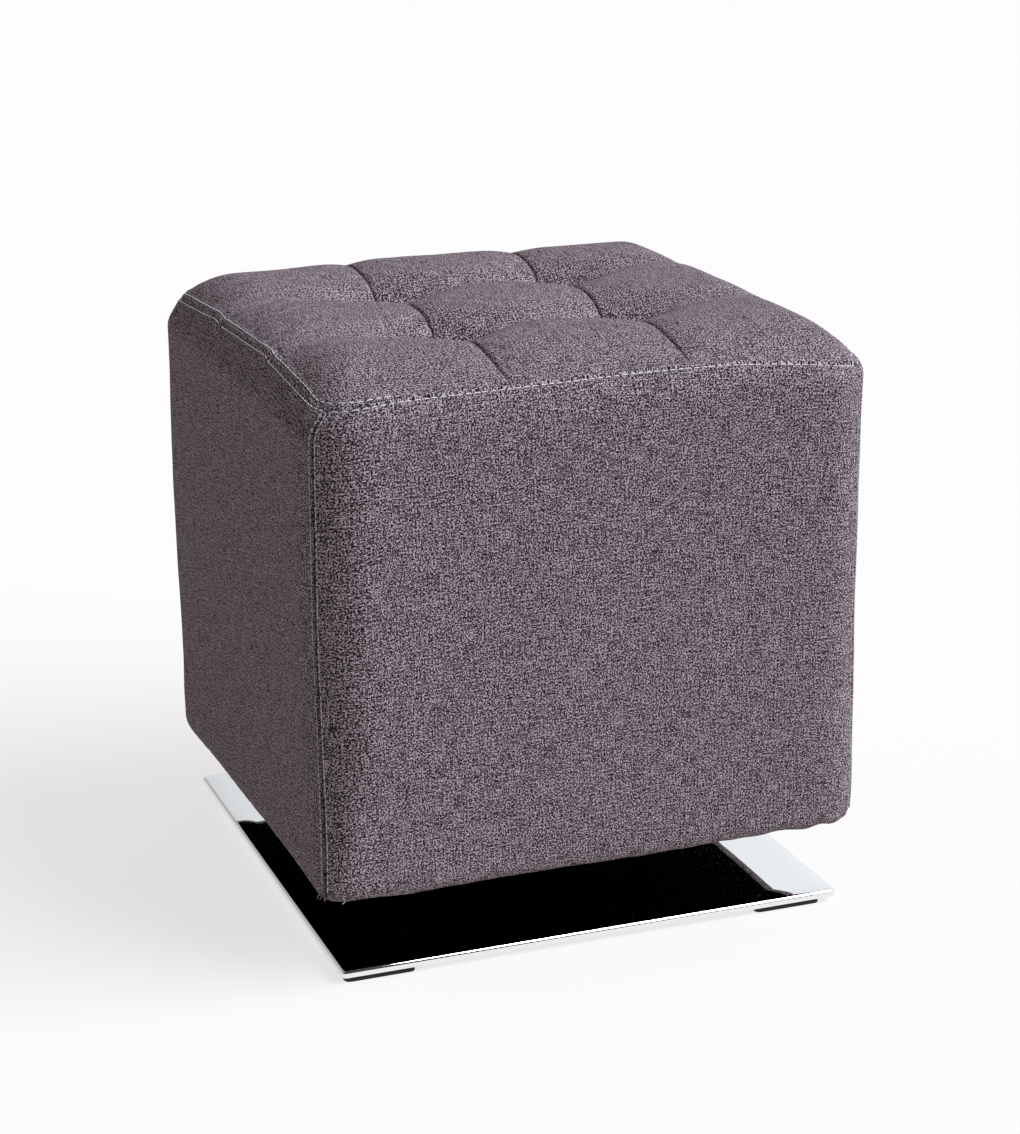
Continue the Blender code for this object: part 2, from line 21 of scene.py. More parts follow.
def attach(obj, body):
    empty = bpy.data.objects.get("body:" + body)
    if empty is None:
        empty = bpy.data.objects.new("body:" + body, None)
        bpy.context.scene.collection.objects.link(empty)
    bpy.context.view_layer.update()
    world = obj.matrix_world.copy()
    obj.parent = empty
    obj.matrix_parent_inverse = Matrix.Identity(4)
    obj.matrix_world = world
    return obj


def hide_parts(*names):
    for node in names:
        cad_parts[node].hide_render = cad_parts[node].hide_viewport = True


log = logging.getLogger("cube_pouf")

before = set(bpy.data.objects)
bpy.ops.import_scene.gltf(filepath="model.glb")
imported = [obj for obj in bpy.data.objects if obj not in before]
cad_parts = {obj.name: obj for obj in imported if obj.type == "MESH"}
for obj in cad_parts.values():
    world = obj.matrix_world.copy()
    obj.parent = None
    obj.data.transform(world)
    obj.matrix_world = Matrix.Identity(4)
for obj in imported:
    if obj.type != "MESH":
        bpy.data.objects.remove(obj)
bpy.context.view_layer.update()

Point = tuple[float, float, float]
Shade = tuple[float, float, float]
SEAT = "seat"
BASE = "base"
QUARTER_TURN = math.pi / 2
CORNER_TURN = math.pi / 4
TINY = 1e-6


class Side(Enum):
    """The four upright sides.

    Each value is the unit vector along the side, to the right as seen from outside, and the unit
    vector outwards.
    """

    FRONT = ((1.0, 0.0), (0.0, -1.0))
    RIGHT = ((0.0, 1.0), (1.0, 0.0))
    BACK = ((-1.0, 0.0), (0.0, 1.0))
    LEFT = ((0.0, -1.0), (-1.0, 0.0))

    @property
    def label(self) -> str:
        """The side's name in piece names."""
        return self.name.lower()

    def place(self, along: float, out: float, z: float) -> Point:
        """World point from a place along the side, a distance outwards and a height.

        Args:
            along: distance to the right of the side's middle.
            out: distance from the stool's middle axis.
            z: height.

        Returns:
            The point in world axes.
        """
        (ax, ay), (ox, oy) = self.value
        return along * ax + out * ox, along * ay + out * oy, z


class Strip(Enum):
    """The three strips of the top cover, with the sewn lines that bound each."""

    LEFT = (None, 0)
    MIDDLE = (0, 1)
    RIGHT = (1, None)

    @property
    def label(self) -> str:
        """The strip's name in piece names."""
        return self.name.lower()


class Thread(Enum):
    """The sewing threads and their shades.

    The pale one runs round the top's edge, and the dark one in the two sewn lines of the top. Up the
    corners runs the same pale thread, darkened as painted shade for the dim corners.
    """

    PALE = (0.60, 0.59, 0.60)
    # the pale thread again, darkened: painted shade
    DULL = (0.36, 0.35, 0.36)
    DARK = (0.020, 0.016, 0.020)


# ---------------------------------------------------------------- helpers


def eased(t: float) -> float:
    """Smooth step of a share held between 0 and 1."""
    t = min(max(t, 0.0), 1.0)
    return t * t * (3.0 - 2.0 * t)


def bell(distance: float, width: float) -> float:
    """Bell curve: 1 on the line and near 0 two widths away."""
    return math.exp(-((distance / width) ** 2))


def table_slope(rows: tuple[tuple[float, float], ...], index: int) -> float:
    """Slope of the curve through a table at one of its rows.

    Args:
        rows: (place, value) in rising order of place.
        index: number of the row.

    Returns:
        The slope from the row before it to the row after it.
    """
    low = max(index - 1, 0)
    high = min(index + 1, len(rows) - 1)
    return (rows[high][1] - rows[low][1]) / (rows[high][0] - rows[low][0])


def read_table(rows: tuple[tuple[float, float], ...], place: float) -> float:
    """Read a short table at a place, on a smooth curve through its rows.

    Args:
        rows: (place, value) in rising order of place.
        place: where to read it; held to the table's ends.

    Returns:
        The value there.
    """
    place = min(max(place, rows[0][0]), rows[-1][0])
    index = max(i for i in range(len(rows) - 1) if rows[i][0] <= place)
    span = rows[index + 1][0] - rows[index][0]
    t = (place - rows[index][0]) / span
    slope_in = table_slope(rows, index) * span
    slope_out = table_slope(rows, index + 1) * span
    return ((2 * t**3 - 3 * t**2 + 1) * rows[index][1] + (t**3 - 2 * t**2 + t) * slope_in
            + (3 * t**2 - 2 * t**3) * rows[index + 1][1] + (t**3 - t**2) * slope_out)


def graded(low: float, high: float, fine: float, coarse: float,
           reach: tuple[float, float]) -> list[float]:
    """Places from low to high, close together near the ends and further apart between them.

    Args:
        low: first place.
        high: last place.
        fine: step near an end.
        coarse: step in the middle.
        reach: how far the fine steps run from the low and from the high end.

    Returns:
        The places in rising order, both ends included.
    """
    stops = [(low, min(low + reach[0], high), fine), (low + reach[0], high - reach[1], coarse),
             (max(high - reach[1], low), high, fine)]
    places = [low]
    for start, stop, step in stops:
        if stop - start < TINY:
            continue
        count = max(1, round((stop - start) / step))
        places += [start + (stop - start) * i / count for i in range(1, count + 1)]
    return places


def tube_faces(first: int, rings: int, around: int) -> list[tuple[int, ...]]:
    """Faces of a tube whose two ends are closed.

    Args:
        first: number of its first point.
        rings: how many rings of points it has.
        around: how many points each ring has.

    Returns:
        The point numbers of each face.
    """
    faces: list[tuple[int, ...]] = []
    for low in range(first, first + (rings - 1) * around, around):
        for step in range(around):
            after = (step + 1) % around
            faces.append((low + step, low + after, low + around + after, low + around + step))
    last = first + (rings - 1) * around
    faces.append(tuple(first + step for step in reversed(range(around))))
    faces.append(tuple(last + step for step in range(around)))
    return faces


def make_piece(name: str, points: list[Point], faces: list[tuple[int, ...]],
               material: bpy.types.Material, smooth_degrees: float = 60.0) -> bpy.types.Object:
    """One smooth, outward-facing mesh object.

    Args:
        name: the piece's name.
        points: its points.
        faces: point numbers of each face.
        material: its finish.
        smooth_degrees: edges sharper than this stay crisp.

    Returns:
        The linked object.
    """
    mesh = bpy.data.meshes.new(name)
    mesh.from_pydata(points, [], faces)
    work = bmesh.new()
    work.from_mesh(mesh)
    bmesh.ops.recalc_face_normals(work, faces=work.faces)
    work.to_mesh(mesh)
    work.free()
    mesh.shade_smooth()
    mesh.set_sharp_from_angle(angle=math.radians(smooth_degrees))
    mesh.materials.append(material)
    piece = bpy.data.objects.new(name, mesh)
    bpy.context.scene.collection.objects.link(piece)
    return piece


def lay_weave(piece: bpy.types.Object, cloth_places: list[tuple[float, float]]) -> None:
    """Give the piece its cloth coordinates, in metres along the two sets of threads.

    Args:
        piece: the piece.
        cloth_places: place on the cloth of each of its points.
    """
    layer = piece.data.uv_layers.new(name="weave")
    for loop in piece.data.loops:
        layer.data[loop.index].uv = cloth_places[loop.vertex_index]


# ---------------------------------------------------------------- the cover's shape


@dataclass(frozen=True)
class Tuft:
    """A pull-in point of the top: place, and depth below the valley it lies in."""

    x: float
    y: float
    depth: float


@dataclass(frozen=True)
class Pucker:
    """A short furrow: its middle, direction, half-length, half-width and depth.

    On a side panel x is the place along the side and y the height; on the top they are x and y.
    The lips beside it, and where it ends, are in half-widths and half-lengths.
    """

    x: float
    y: float
    degrees: float
    half_length: float
    half_width: float
    depth: float
    lip_height: float = 0.45
    lip_place: float = 1.7
    end_at: float = 3.0
    side_at: float = 4.0

    def relief(self, x: float, y: float) -> float:
        """Relief of the furrow, with the low lips that push up beside it, at a point.

        Args:
            x, y: the point, measured as the furrow's middle is.

        Returns:
            Height above the plain cloth, below 0 in the furrow.
        """
        turn = math.radians(self.degrees)
        dx, dy = x - self.x, y - self.y
        along = dx * math.cos(turn) + dy * math.sin(turn)
        if abs(along) > self.end_at * self.half_length:
            return 0.0
        across = (dy * math.cos(turn) - dx * math.sin(turn)) / self.half_width
        if abs(across) > self.side_at:
            return 0.0
        furrow = math.exp(-across * across)
        lips = self.lip_height * math.exp(-((abs(across) - self.lip_place) ** 2))
        return -self.depth * (furrow - lips) * bell(along, self.half_length)


@dataclass(frozen=True)
class Bumps:
    """Hand-made unevenness: height and size of its bumps, and the layer of noise they come from."""

    height: float
    size: float
    layer: float = 0.0

    def at(self, x: float, y: float, further: float = 0.0) -> float:
        """Height of the bumps at a point; each side reads them a little further into the noise."""
        return self.height * noise.noise(Vector((x, y, self.layer + further)) / self.size)


@dataclass(frozen=True)
class SewnEdge:
    """One side of a sewn edge: how far the stitched row lies from the seam, and the raised band."""

    row: float
    raised: float
    width: float
    fade: float


@dataclass
class CoverShape:
    """Sizes and formulas of the stool's cover: the solids' own, with the finer relief added."""

    # the whole body, the edge seam round its top, and the hidden inner faces of its pieces
    width: float = 0.410
    height: float = 0.430
    crown_z: float = 0.4301
    wall_inner: float = 0.170
    seam_half: float = 0.196
    top_underside_z: float = 0.360
    wall_ledge_z: float = 0.398
    seam_top_z: float = 0.402
    hem_inner_z: float = 0.0720
    gap: float = 0.0003
    top_clearance: float = 0.0001
    # the corners round off beyond corner_centre; the tables are read over corner_span there
    corner_centre: float = 0.165
    corner_span: float = 0.030
    # the upright faces: nearly straight, with a slight fullness, and a shoulder up to the seam
    face_half_top: float = 0.2032
    face_half_low: float = 0.2042
    face_low_z: float = 0.065
    face_rise: float = 0.340
    bulge_reach: float = 1.15
    bulge_lift: float = 0.7
    bulge_round: float = 1.5
    bulge_extra: float = 0.00036
    proud_limit: float = 0.0012
    shoulder_start_z: float = 0.385
    # sewn edges: the allowance lies under the top, so that the band above the seam is the wide one
    edge_of_top: SewnEdge = SewnEdge(0.0042, 0.0008, 0.0050, 0.0064)
    edge_of_face: SewnEdge = SewnEdge(0.0009, 0.0003, 0.0016, 0.0034)
    edge_of_corner: SewnEdge = SewnEdge(0.0023, 0.0006, 0.0031, 0.0048)
    seam_groove: float = 0.0012
    seam_groove_width: float = 0.0007
    row_groove: float = 0.00040
    row_groove_width: float = 0.0006
    # the near corner's seam runs round to the left below the top, and the body leans left
    corner_drift: float = math.radians(12.0)
    drift_run: float = 0.0100
    drift_lag: float = 0.40
    lean_reach: float = 0.0030
    lean_from_z: float = 0.10
    lean_from_run: float = 0.16
    lean_to_z: float = 0.385
    lean_to_run: float = 0.015
    # at the near corner the folded hem is drawn to a tighter radius
    hem_radius_cut: float = 0.0160
    hem_radius_start: float = 0.180
    hem_radius_end: float = 0.068
    # the crown falls to the edge seam over these distances
    crown_front_run: float = 0.080
    crown_back_run: float = 0.062
    crown_side_run: float = 0.046
    crown_power: float = 2.2
    crown_rounding: float = 4.0
    # the left pillows have sunk a little
    left_sag: float = 0.0030
    sag_start: float = 0.02
    sag_run: float = 0.13
    # the two sewn lines, the pull-in points with their hollows, and the two cross valleys
    pillow_seam_depth: float = 0.0032
    pillow_seam_reach: float = 0.026
    pillow_crease_depth: float = 0.0016
    pillow_crease_width: float = 0.0012
    tuft_reach: float = 0.056
    tuft_hollow_depth: float = 0.0098
    tuft_hollow_sigma: float = 0.042
    valley_middle_depth: float = 0.0115
    valley_edge_depth: float = 0.0036
    valley_right_depth: float = 0.0064
    valley_fade: float = 0.055
    valley_sigma: float = 0.019
    edge_share_run: float = 0.020
    # steps in the edge seam where the valleys meet it
    kink_run: float = 0.003
    kink_fade: float = 0.035
    # hand-made unevenness; on the faces it dies out towards the hem and the top seam
    top_swell: Bumps = Bumps(0.0007, 0.045)
    top_ripple: Bumps = Bumps(0.00025, 0.016, 5.0)
    face_swell: Bumps = Bumps(0.0009, 0.070, 7.0)
    face_ripple: Bumps = Bumps(0.00025, 0.018, 2.0)
    hem_lumps: Bumps = Bumps(0.0006, 0.011)
    side_spacing: float = 3.0
    calm_hem_z: float = 0.075
    calm_hem_run: float = 0.02
    calm_seam_start: float = 0.010
    calm_seam_run: float = 0.03
    # places on the top: the tufts, the sewn lines' x at the front and the back, and the valleys' y
    # at the left and the right
    tufts: tuple[Tuft, ...] = (
        Tuft(-0.067, -0.069, 0.0160), Tuft(0.0640, -0.057, 0.0160),
        Tuft(-0.066, 0.060, 0.0160), Tuft(0.0670, 0.073, 0.0156))
    pillow_seams: tuple[tuple[float, float], ...] = ((-0.0680, -0.0680), (0.0610, 0.0680))
    valleys: tuple[tuple[float, float], ...] = ((-0.0730, -0.0460), (0.0560, 0.0880))
    # heights of the edge seam, steps in it and heights of the hem, as (place along the side, height)
    seam_heights: dict[Side, tuple[tuple[float, float], ...]] = field(default_factory=lambda: {
        Side.FRONT: ((-0.196, 0.4020), (-0.144, 0.4072), (-0.076, 0.4092), (0.016, 0.4118),
                     (0.080, 0.4120), (0.129, 0.4090), (0.196, 0.4012)),
        Side.RIGHT: ((-0.196, 0.4012), (-0.130, 0.4080), (-0.060, 0.4112), (0.020, 0.4120),
                     (0.075, 0.4118), (0.140, 0.4070), (0.196, 0.4022)),
        Side.BACK: ((-0.196, 0.4022), (-0.135, 0.4078), (-0.060, 0.4105), (0.030, 0.4116),
                    (0.085, 0.4110), (0.140, 0.4076), (0.196, 0.4035)),
        Side.LEFT: ((-0.196, 0.4035), (-0.113, 0.4080), (-0.055, 0.4112), (0.029, 0.4122),
                    (0.078, 0.4122), (0.125, 0.4075), (0.196, 0.4020)),
    })
    seam_kinks: dict[Side, tuple[tuple[float, float], ...]] = field(default_factory=lambda: {
        Side.LEFT: ((-0.056, -0.0018), (0.072, -0.0018)),
        Side.RIGHT: ((-0.046, 0.0010), (0.088, 0.0010)),
    })
    hem_heights: dict[Side, tuple[tuple[float, float], ...]] = field(default_factory=lambda: {
        Side.FRONT: ((-0.194, 0.0655), (-0.172, 0.0668), (-0.150, 0.0652), (-0.100, 0.0663),
                     (-0.035, 0.0668), (0.040, 0.0662), (0.088, 0.0673), (0.118, 0.0672),
                     (0.137, 0.0684), (0.1535, 0.0664), (0.167, 0.0682), (0.180, 0.0664),
                     (0.190, 0.0670)),
        Side.RIGHT: ((-0.190, 0.0690), (-0.120, 0.0662), (-0.020, 0.0652), (0.070, 0.0660),
                     (0.130, 0.0640), (0.190, 0.0655)),
        Side.BACK: ((-0.190, 0.0655), (-0.120, 0.0640), (-0.030, 0.0650), (0.060, 0.0638),
                    (0.130, 0.0622), (0.190, 0.0615)),
        Side.LEFT: ((-0.190, 0.0615), (-0.152, 0.0600), (-0.088, 0.0631), (0.000, 0.0648),
                    (0.082, 0.0674), (0.160, 0.0668), (0.190, 0.0655)),
    })
    # the hem's section, as (inset from the face, rise from its lowest line)
    hem_section: tuple[tuple[float, float], ...] = (
        (0.0000, 0.0110), (0.0002, 0.0082), (0.0007, 0.0055), (0.0015, 0.0033), (0.0027, 0.0017),
        (0.0044, 0.0006), (0.0070, 0.0001), (0.0105, 0.0003), (0.0145, 0.0010))
    # furrows that the sewing draws in: the front's and the left's placed as they show, the rest made up
    side_puckers: dict[Side, tuple[Pucker, ...]] = field(default_factory=lambda: {
        Side.FRONT: (
            Pucker(-0.1540, 0.3850, 92, 0.0080, 0.0020, 0.0011),
            Pucker(-0.1585, 0.3975, 84, 0.0050, 0.0016, 0.0008),
            Pucker(-0.1262, 0.3945, 86, 0.0050, 0.0018, 0.0009),
            Pucker(-0.0700, 0.4085, 96, 0.0034, 0.0012, 0.0016),
            Pucker(0.0390, 0.3962, 88, 0.0040, 0.0014, 0.0008),
        ),
        Side.LEFT: (
            Pucker(-0.0490, 0.4060, 112, 0.0100, 0.0050, 0.0018),
            Pucker(-0.0640, 0.4010, 128, 0.0110, 0.0042, 0.0013),
            Pucker(0.0530, 0.4130, 146, 0.0090, 0.0022, 0.0012),
        ),
        Side.RIGHT: (
            Pucker(-0.0480, 0.3970, 112, 0.0120, 0.0045, 0.0011),
            Pucker(0.0860, 0.3980, 70, 0.0110, 0.0040, 0.0010),
            Pucker(-0.1530, 0.3900, 88, 0.0090, 0.0026, 0.0008),
        ),
        Side.BACK: (
            Pucker(0.0680, 0.3990, 92, 0.0060, 0.0018, 0.0010),
            Pucker(-0.0680, 0.3990, 88, 0.0060, 0.0018, 0.0010),
            Pucker(0.1500, 0.3900, 96, 0.0090, 0.0024, 0.0007),
        ),
    })
    top_puckers: tuple[Pucker, ...] = (
        Pucker(-0.1530, -0.1830, 80, 0.0060, 0.0018, 0.0006),
        Pucker(-0.1430, -0.1820, 95, 0.0055, 0.0018, 0.0005),
        Pucker(-0.1640, -0.1800, 62, 0.0060, 0.0020, 0.0006),
        Pucker(-0.1300, -0.1825, 88, 0.0050, 0.0018, 0.0004),
        # folds that run out from the four tufts
        Pucker(-0.0930, -0.0640, 168, 0.0140, 0.0034, 0.0009),
        Pucker(-0.0860, -0.0860, 44, 0.0120, 0.0032, 0.0006),
        Pucker(0.0860, -0.0700, -32, 0.0120, 0.0034, 0.0008),
        Pucker(0.0400, -0.0560, 4, 0.0110, 0.0030, 0.0006),
        Pucker(-0.0920, 0.0700, 160, 0.0130, 0.0036, 0.0008),
        Pucker(0.0900, 0.0900, 32, 0.0130, 0.0036, 0.0009),
        Pucker(0.0440, 0.0660, 20, 0.0110, 0.0032, 0.0006),
    )

    # ---- lines shared by the top and the sides

    def seam_height(self, side: Side, along: float) -> float:
        """Height of the top seam at a place along one side.

        Args:
            side: which side.
            along: place along it.

        Returns:
            Height above the floor.
        """
        height = read_table(self.seam_heights[side], along)
        for place, step in self.seam_kinks.get(side, ()):
            offset = along - place
            fade = math.exp(-abs(offset) / self.kink_fade)
            height += step * math.tanh(offset / self.kink_run) * fade
        return height

    def fell_relief(self, distance: float, edge: SewnEdge) -> float:
        """Relief of a sewn edge: the seam's groove, the raised band and the stitched row in it.

        Args:
            distance: distance from the seam.
            edge: which kind of edge.

        Returns:
            Height above the plain cloth.
        """
        if distance > edge.fade:
            return 0.0
        raised = edge.raised * (1.0 - eased((distance - edge.width) / (edge.fade - edge.width)))
        raised -= (self.seam_groove + edge.raised) * bell(distance, self.seam_groove_width)
        return raised - self.row_groove * bell(distance - edge.row, self.row_groove_width)

    # ---- the top

    def pillow_seam_x(self, index: int, y: float) -> float:
        """The x of one of the top's two sewn lines at a given y."""
        front, back = self.pillow_seams[index]
        return front + (back - front) * (y + self.seam_half) / (2 * self.seam_half)

    def valley_y(self, index: int, x: float) -> float:
        """The y of one of the two cross valleys at a given x."""
        left, right = self.valleys[index]
        return left + (right - left) * (x + self.seam_half) / (2 * self.seam_half)

    def valley_depth(self, x: float) -> float:
        """Depth of a cross valley: full between the tufts, fading towards the side seams.

        Args:
            x: place across the top.

        Returns:
            How far the valley's middle lies below the crown.
        """
        spread = max(abs(x) - abs(self.tufts[0].x), 0.0)
        share = bell(spread, self.valley_fade)
        edge_depth = self.valley_edge_depth if x < 0.0 else self.valley_right_depth
        return edge_depth + (self.valley_middle_depth - edge_depth) * share

    def edge_distance(self, x: float, y: float) -> float:
        """Distance of a point of the top from the seam line round it.

        Args:
            x, y: the point.

        Returns:
            The distance, 0 on the line and outside it.
        """
        dx = abs(x) - self.corner_centre
        dy = abs(y) - self.corner_centre
        radius = self.seam_half - self.corner_centre
        if dx > 0.0 and dy > 0.0:
            return max(radius - math.hypot(dx, dy), 0.0)
        return max(radius - max(dx, dy), 0.0)

    def boundary_height(self, x: float, y: float) -> float:
        """Height of the seam on the side nearest to a point of the top.

        Args:
            x, y: the point.

        Returns:
            The seam's height above the floor.
        """
        if abs(y) >= abs(x):
            side, along = (Side.FRONT, x) if y < 0 else (Side.BACK, -x)
        else:
            side, along = (Side.LEFT, -y) if x < 0 else (Side.RIGHT, y)
        return self.seam_height(side, along)

    def crown_fall(self, x: float, y: float, edge: float) -> float:
        """How near a point of the crown is to the seam: 0 on the flat, 1 at the seam.

        Args:
            x, y: the point.
            edge: its distance from the seam line.

        Returns:
            The share, rounded over where the fall to one edge meets the fall to the next.
        """
        long_run = self.crown_front_run if y < 0.0 else self.crown_back_run
        sideways = max(0.0, 1.0 - (self.seam_half - abs(x)) / self.crown_side_run)
        lengthways = max(0.0, 1.0 - (self.seam_half - abs(y)) / long_run)
        power = self.crown_rounding
        both = (sideways ** power + lengthways ** power) ** (1.0 / power)
        return min(max(both, 1.0 - edge / self.crown_side_run, 0.0), 1.0)

    def top_height(self, x: float, y: float) -> float:
        """Height of the tufted top at a point inside the seam line.

        Args:
            x, y: the point.

        Returns:
            Height above the floor.
        """
        edge = self.edge_distance(x, y)
        boundary = self.boundary_height(x, y)
        fall = self.crown_fall(x, y, edge) ** self.crown_power
        height = self.crown_z - (self.crown_z - boundary) * fall
        share = 1.0 - bell(edge, self.edge_share_run)
        height -= share * self.left_sag * eased((-x - self.sag_start) / self.sag_run)
        for index in range(len(self.pillow_seams)):
            offset = abs(x - self.pillow_seam_x(index, y))
            cusp = max(0.0, 1.0 - offset / self.pillow_seam_reach) ** 2
            height -= share * self.pillow_seam_depth * cusp
            height -= share * self.pillow_crease_depth * bell(offset, self.pillow_crease_width)
        for index in range(len(self.valleys)):
            offset = y - self.valley_y(index, x)
            height -= share * self.valley_depth(x) * bell(offset, self.valley_sigma)
        for tuft in self.tufts:
            offset = math.hypot(x - tuft.x, y - tuft.y)
            height -= tuft.depth * max(0.0, 1.0 - offset / self.tuft_reach) ** 2
            height -= share * self.tuft_hollow_depth * bell(offset, self.tuft_hollow_sigma)
        fine = sum(pucker.relief(x, y) for pucker in self.top_puckers)
        fine += share * (self.top_swell.at(x, y) + self.top_ripple.at(x, y))
        height = min(height + fine, self.height - self.top_clearance)
        return height + self.fell_relief(edge, self.edge_of_top)

    def top_point(self, x: float, y: float) -> Point:
        """Point of the top's surface."""
        return x, y, self.top_height(x, y)

    def bend_corner(self, x: float, y: float, half: float) -> tuple[float, float]:
        """Bend the square net into the rounded outline, inside the four corner zones only.

        Args:
            x, y: a point of the square net.
            half: half-width of the outline.

        Returns:
            The point, bent into place.
        """
        radius = half - self.corner_centre
        px = (abs(x) - self.corner_centre) / radius
        py = (abs(y) - self.corner_centre) / radius
        if px <= 0.0 or py <= 0.0:
            return x, y
        bent_x = px * math.sqrt(1.0 - py * py / 2.0)
        bent_y = py * math.sqrt(1.0 - px * px / 2.0)
        return (math.copysign(self.corner_centre + radius * bent_x, x),
                math.copysign(self.corner_centre + radius * bent_y, y))

    def squeeze(self, place: float, half: float, to_half: float) -> float:
        """Move a place in the corner zone of one outline to the same share of another's.

        Args:
            place: x or y of a point.
            half: half-width of its outline.
            to_half: half-width of the other outline.

        Returns:
            The place in the other outline.
        """
        if abs(place) <= self.corner_centre:
            return place
        share = (abs(place) - self.corner_centre) / (half - self.corner_centre)
        return math.copysign(self.corner_centre + share * (to_half - self.corner_centre), place)

    # ---- the sides

    def face_half(self, along: float, z: float) -> float:
        """Half-width of the outer face: slightly fuller low down and in the middle.

        Args:
            along: place along the side.
            z: height.

        Returns:
            Distance of the face from the stool's middle axis.
        """
        share = min(max((z - self.face_low_z) / self.face_rise, 0.0), 1.0)
        flat = self.face_half_low + (self.face_half_top - self.face_half_low) * share
        across = max(math.cos(math.pi * along / self.width), 0.0) ** self.bulge_round
        upward = math.sin(math.pi * min(share * self.bulge_reach, 1.0) ** self.bulge_lift)
        return flat + (self.width / 2 - self.face_half_low + self.bulge_extra) * across * upward

    def hem_height(self, side: Side, along: float) -> float:
        """Lowest line of the hem, with the small lumps of the folded cloth in it.

        Args:
            side: which side.
            along: place along it.

        Returns:
            Height above the floor.
        """
        (ax, ay), _ = side.value
        lumps = self.hem_lumps.at(along, self.side_spacing * ax, ay)
        return read_table(self.hem_heights[side], along) + lumps

    def corner_angle(self, side: Side, along: float, distance: float) -> float:
        """Angle round a corner at which its upright seam lies.

        Args:
            side: which panel it is measured on.
            along: which end of the panel, by its sign.
            distance: distance down from the top seam.

        Returns:
            The angle, an eighth of a turn but for the near corner.
        """
        lag = self.drift_lag * math.exp(-max(distance, 0.0) / self.drift_run)
        drift = self.corner_drift * (1.0 - lag)
        if side is Side.FRONT and along < 0.0:
            return CORNER_TURN + drift
        if side is Side.LEFT and along > 0.0:
            return CORNER_TURN - drift
        return CORNER_TURN

    def lean(self, z: float) -> float:
        """How far the body stands over to the left at a height, below the top seam.

        Args:
            z: the height.

        Returns:
            The distance, 0 low down and at the top seam.
        """
        leaning = eased((z - self.lean_from_z) / self.lean_from_run)
        upright_again = eased((z - self.lean_to_z) / self.lean_to_run)
        return self.lean_reach * leaning * (1.0 - upright_again)

    def corner_cut(self, side: Side, along: float, z: float) -> float:
        """How much smaller a corner's radius is at a height than higher up: 0 but at the near corner.

        Args:
            side: which side.
            along: which end of it, by its sign.
            z: the height.

        Returns:
            The difference of the radii.
        """
        if (side, along > 0.0) not in ((Side.FRONT, False), (Side.LEFT, True)):
            return 0.0
        span = self.hem_radius_start - self.hem_radius_end
        return self.hem_radius_cut * eased((self.hem_radius_start - z) / span)

    def corner_run(self, half: float, angle: float, cut: float = 0.0) -> float:
        """Length of the outline from the end of its straight columns to the corner's seam."""
        return cut + (half - self.corner_centre - cut) * angle

    def outline(self, along: float, share: float, angle: float, half: float,
                cut: float = 0.0) -> tuple[float, float]:
        """Point of a rounded square, as (along, out).

        Args:
            along: place along the side; its sign says which corner a share belongs to.
            share: share of the way round the corner to its seam, 0 on the straight part.
            angle: angle round the corner at which the seam lies.
            half: half-width of the square.
            cut: how much smaller the corner's radius is than the columns allow.

        Returns:
            The place along the side and the distance outwards.
        """
        if share <= 0.0:
            return along, half
        centre = self.corner_centre + cut
        radius = half - centre
        turn = (share * self.corner_run(half, angle, cut) - cut) / radius
        if turn <= 0.0:
            return math.copysign(centre + turn * radius, along), half
        return math.copysign(centre + radius * math.sin(turn), along), centre + radius * math.cos(turn)

    def place_beyond(self, along: float, share: float) -> float:
        """Place along the side at which the tables are read, for a share of the way to the seam.

        Args:
            along: place along the side; its sign says which corner is meant.
            share: share of the way round the corner to its seam.

        Returns:
            The place.
        """
        if share <= 0.0:
            return along
        reach = math.sqrt(2.0) * math.sin(share * CORNER_TURN) * self.corner_span
        return math.copysign(self.corner_centre + reach, along)

    def shoulder_arc(self, half: float, seam_z: float) -> tuple[float, float]:
        """Arc by which the face rolls over to the seam.

        Args:
            half: half-width of the face where the shoulder starts.
            seam_z: height of the seam above it.

        Returns:
            The arc's radius and the angle it turns through.
        """
        depth = half - self.seam_half - self.gap / 2
        rise = seam_z - self.shoulder_start_z
        radius = (rise * rise + depth * depth) / (2 * depth)
        return radius, math.asin(min(rise / radius, 1.0))

    def shoulder_point(self, half: float, seam_z: float, distance: float) -> tuple[float, float, float]:
        """Half-width, height and lean of the face at a distance down from the seam.

        Args:
            half: half-width of the face where the shoulder starts.
            seam_z: height of the seam above it.
            distance: distance down the cloth from the seam.

        Returns:
            The half-width, the height, and the angle by which the face leans in.
        """
        radius, full_turn = self.shoulder_arc(half, seam_z)
        turn = full_turn - distance / radius
        if turn <= 0.0:
            return half, self.shoulder_start_z + turn * radius, 0.0
        return (half - radius * (1.0 - math.cos(turn)),
                self.shoulder_start_z + radius * math.sin(turn), turn)

    def corner_relief(self, share: float, angle: float, cut: float) -> float:
        """Relief of an upright seam lying at an angle, a share of the way round to it."""
        arc = self.corner_run(self.face_half_top, angle, cut) * (1.0 - share)
        return self.fell_relief(arc, self.edge_of_corner) if share > 0.0 else 0.0

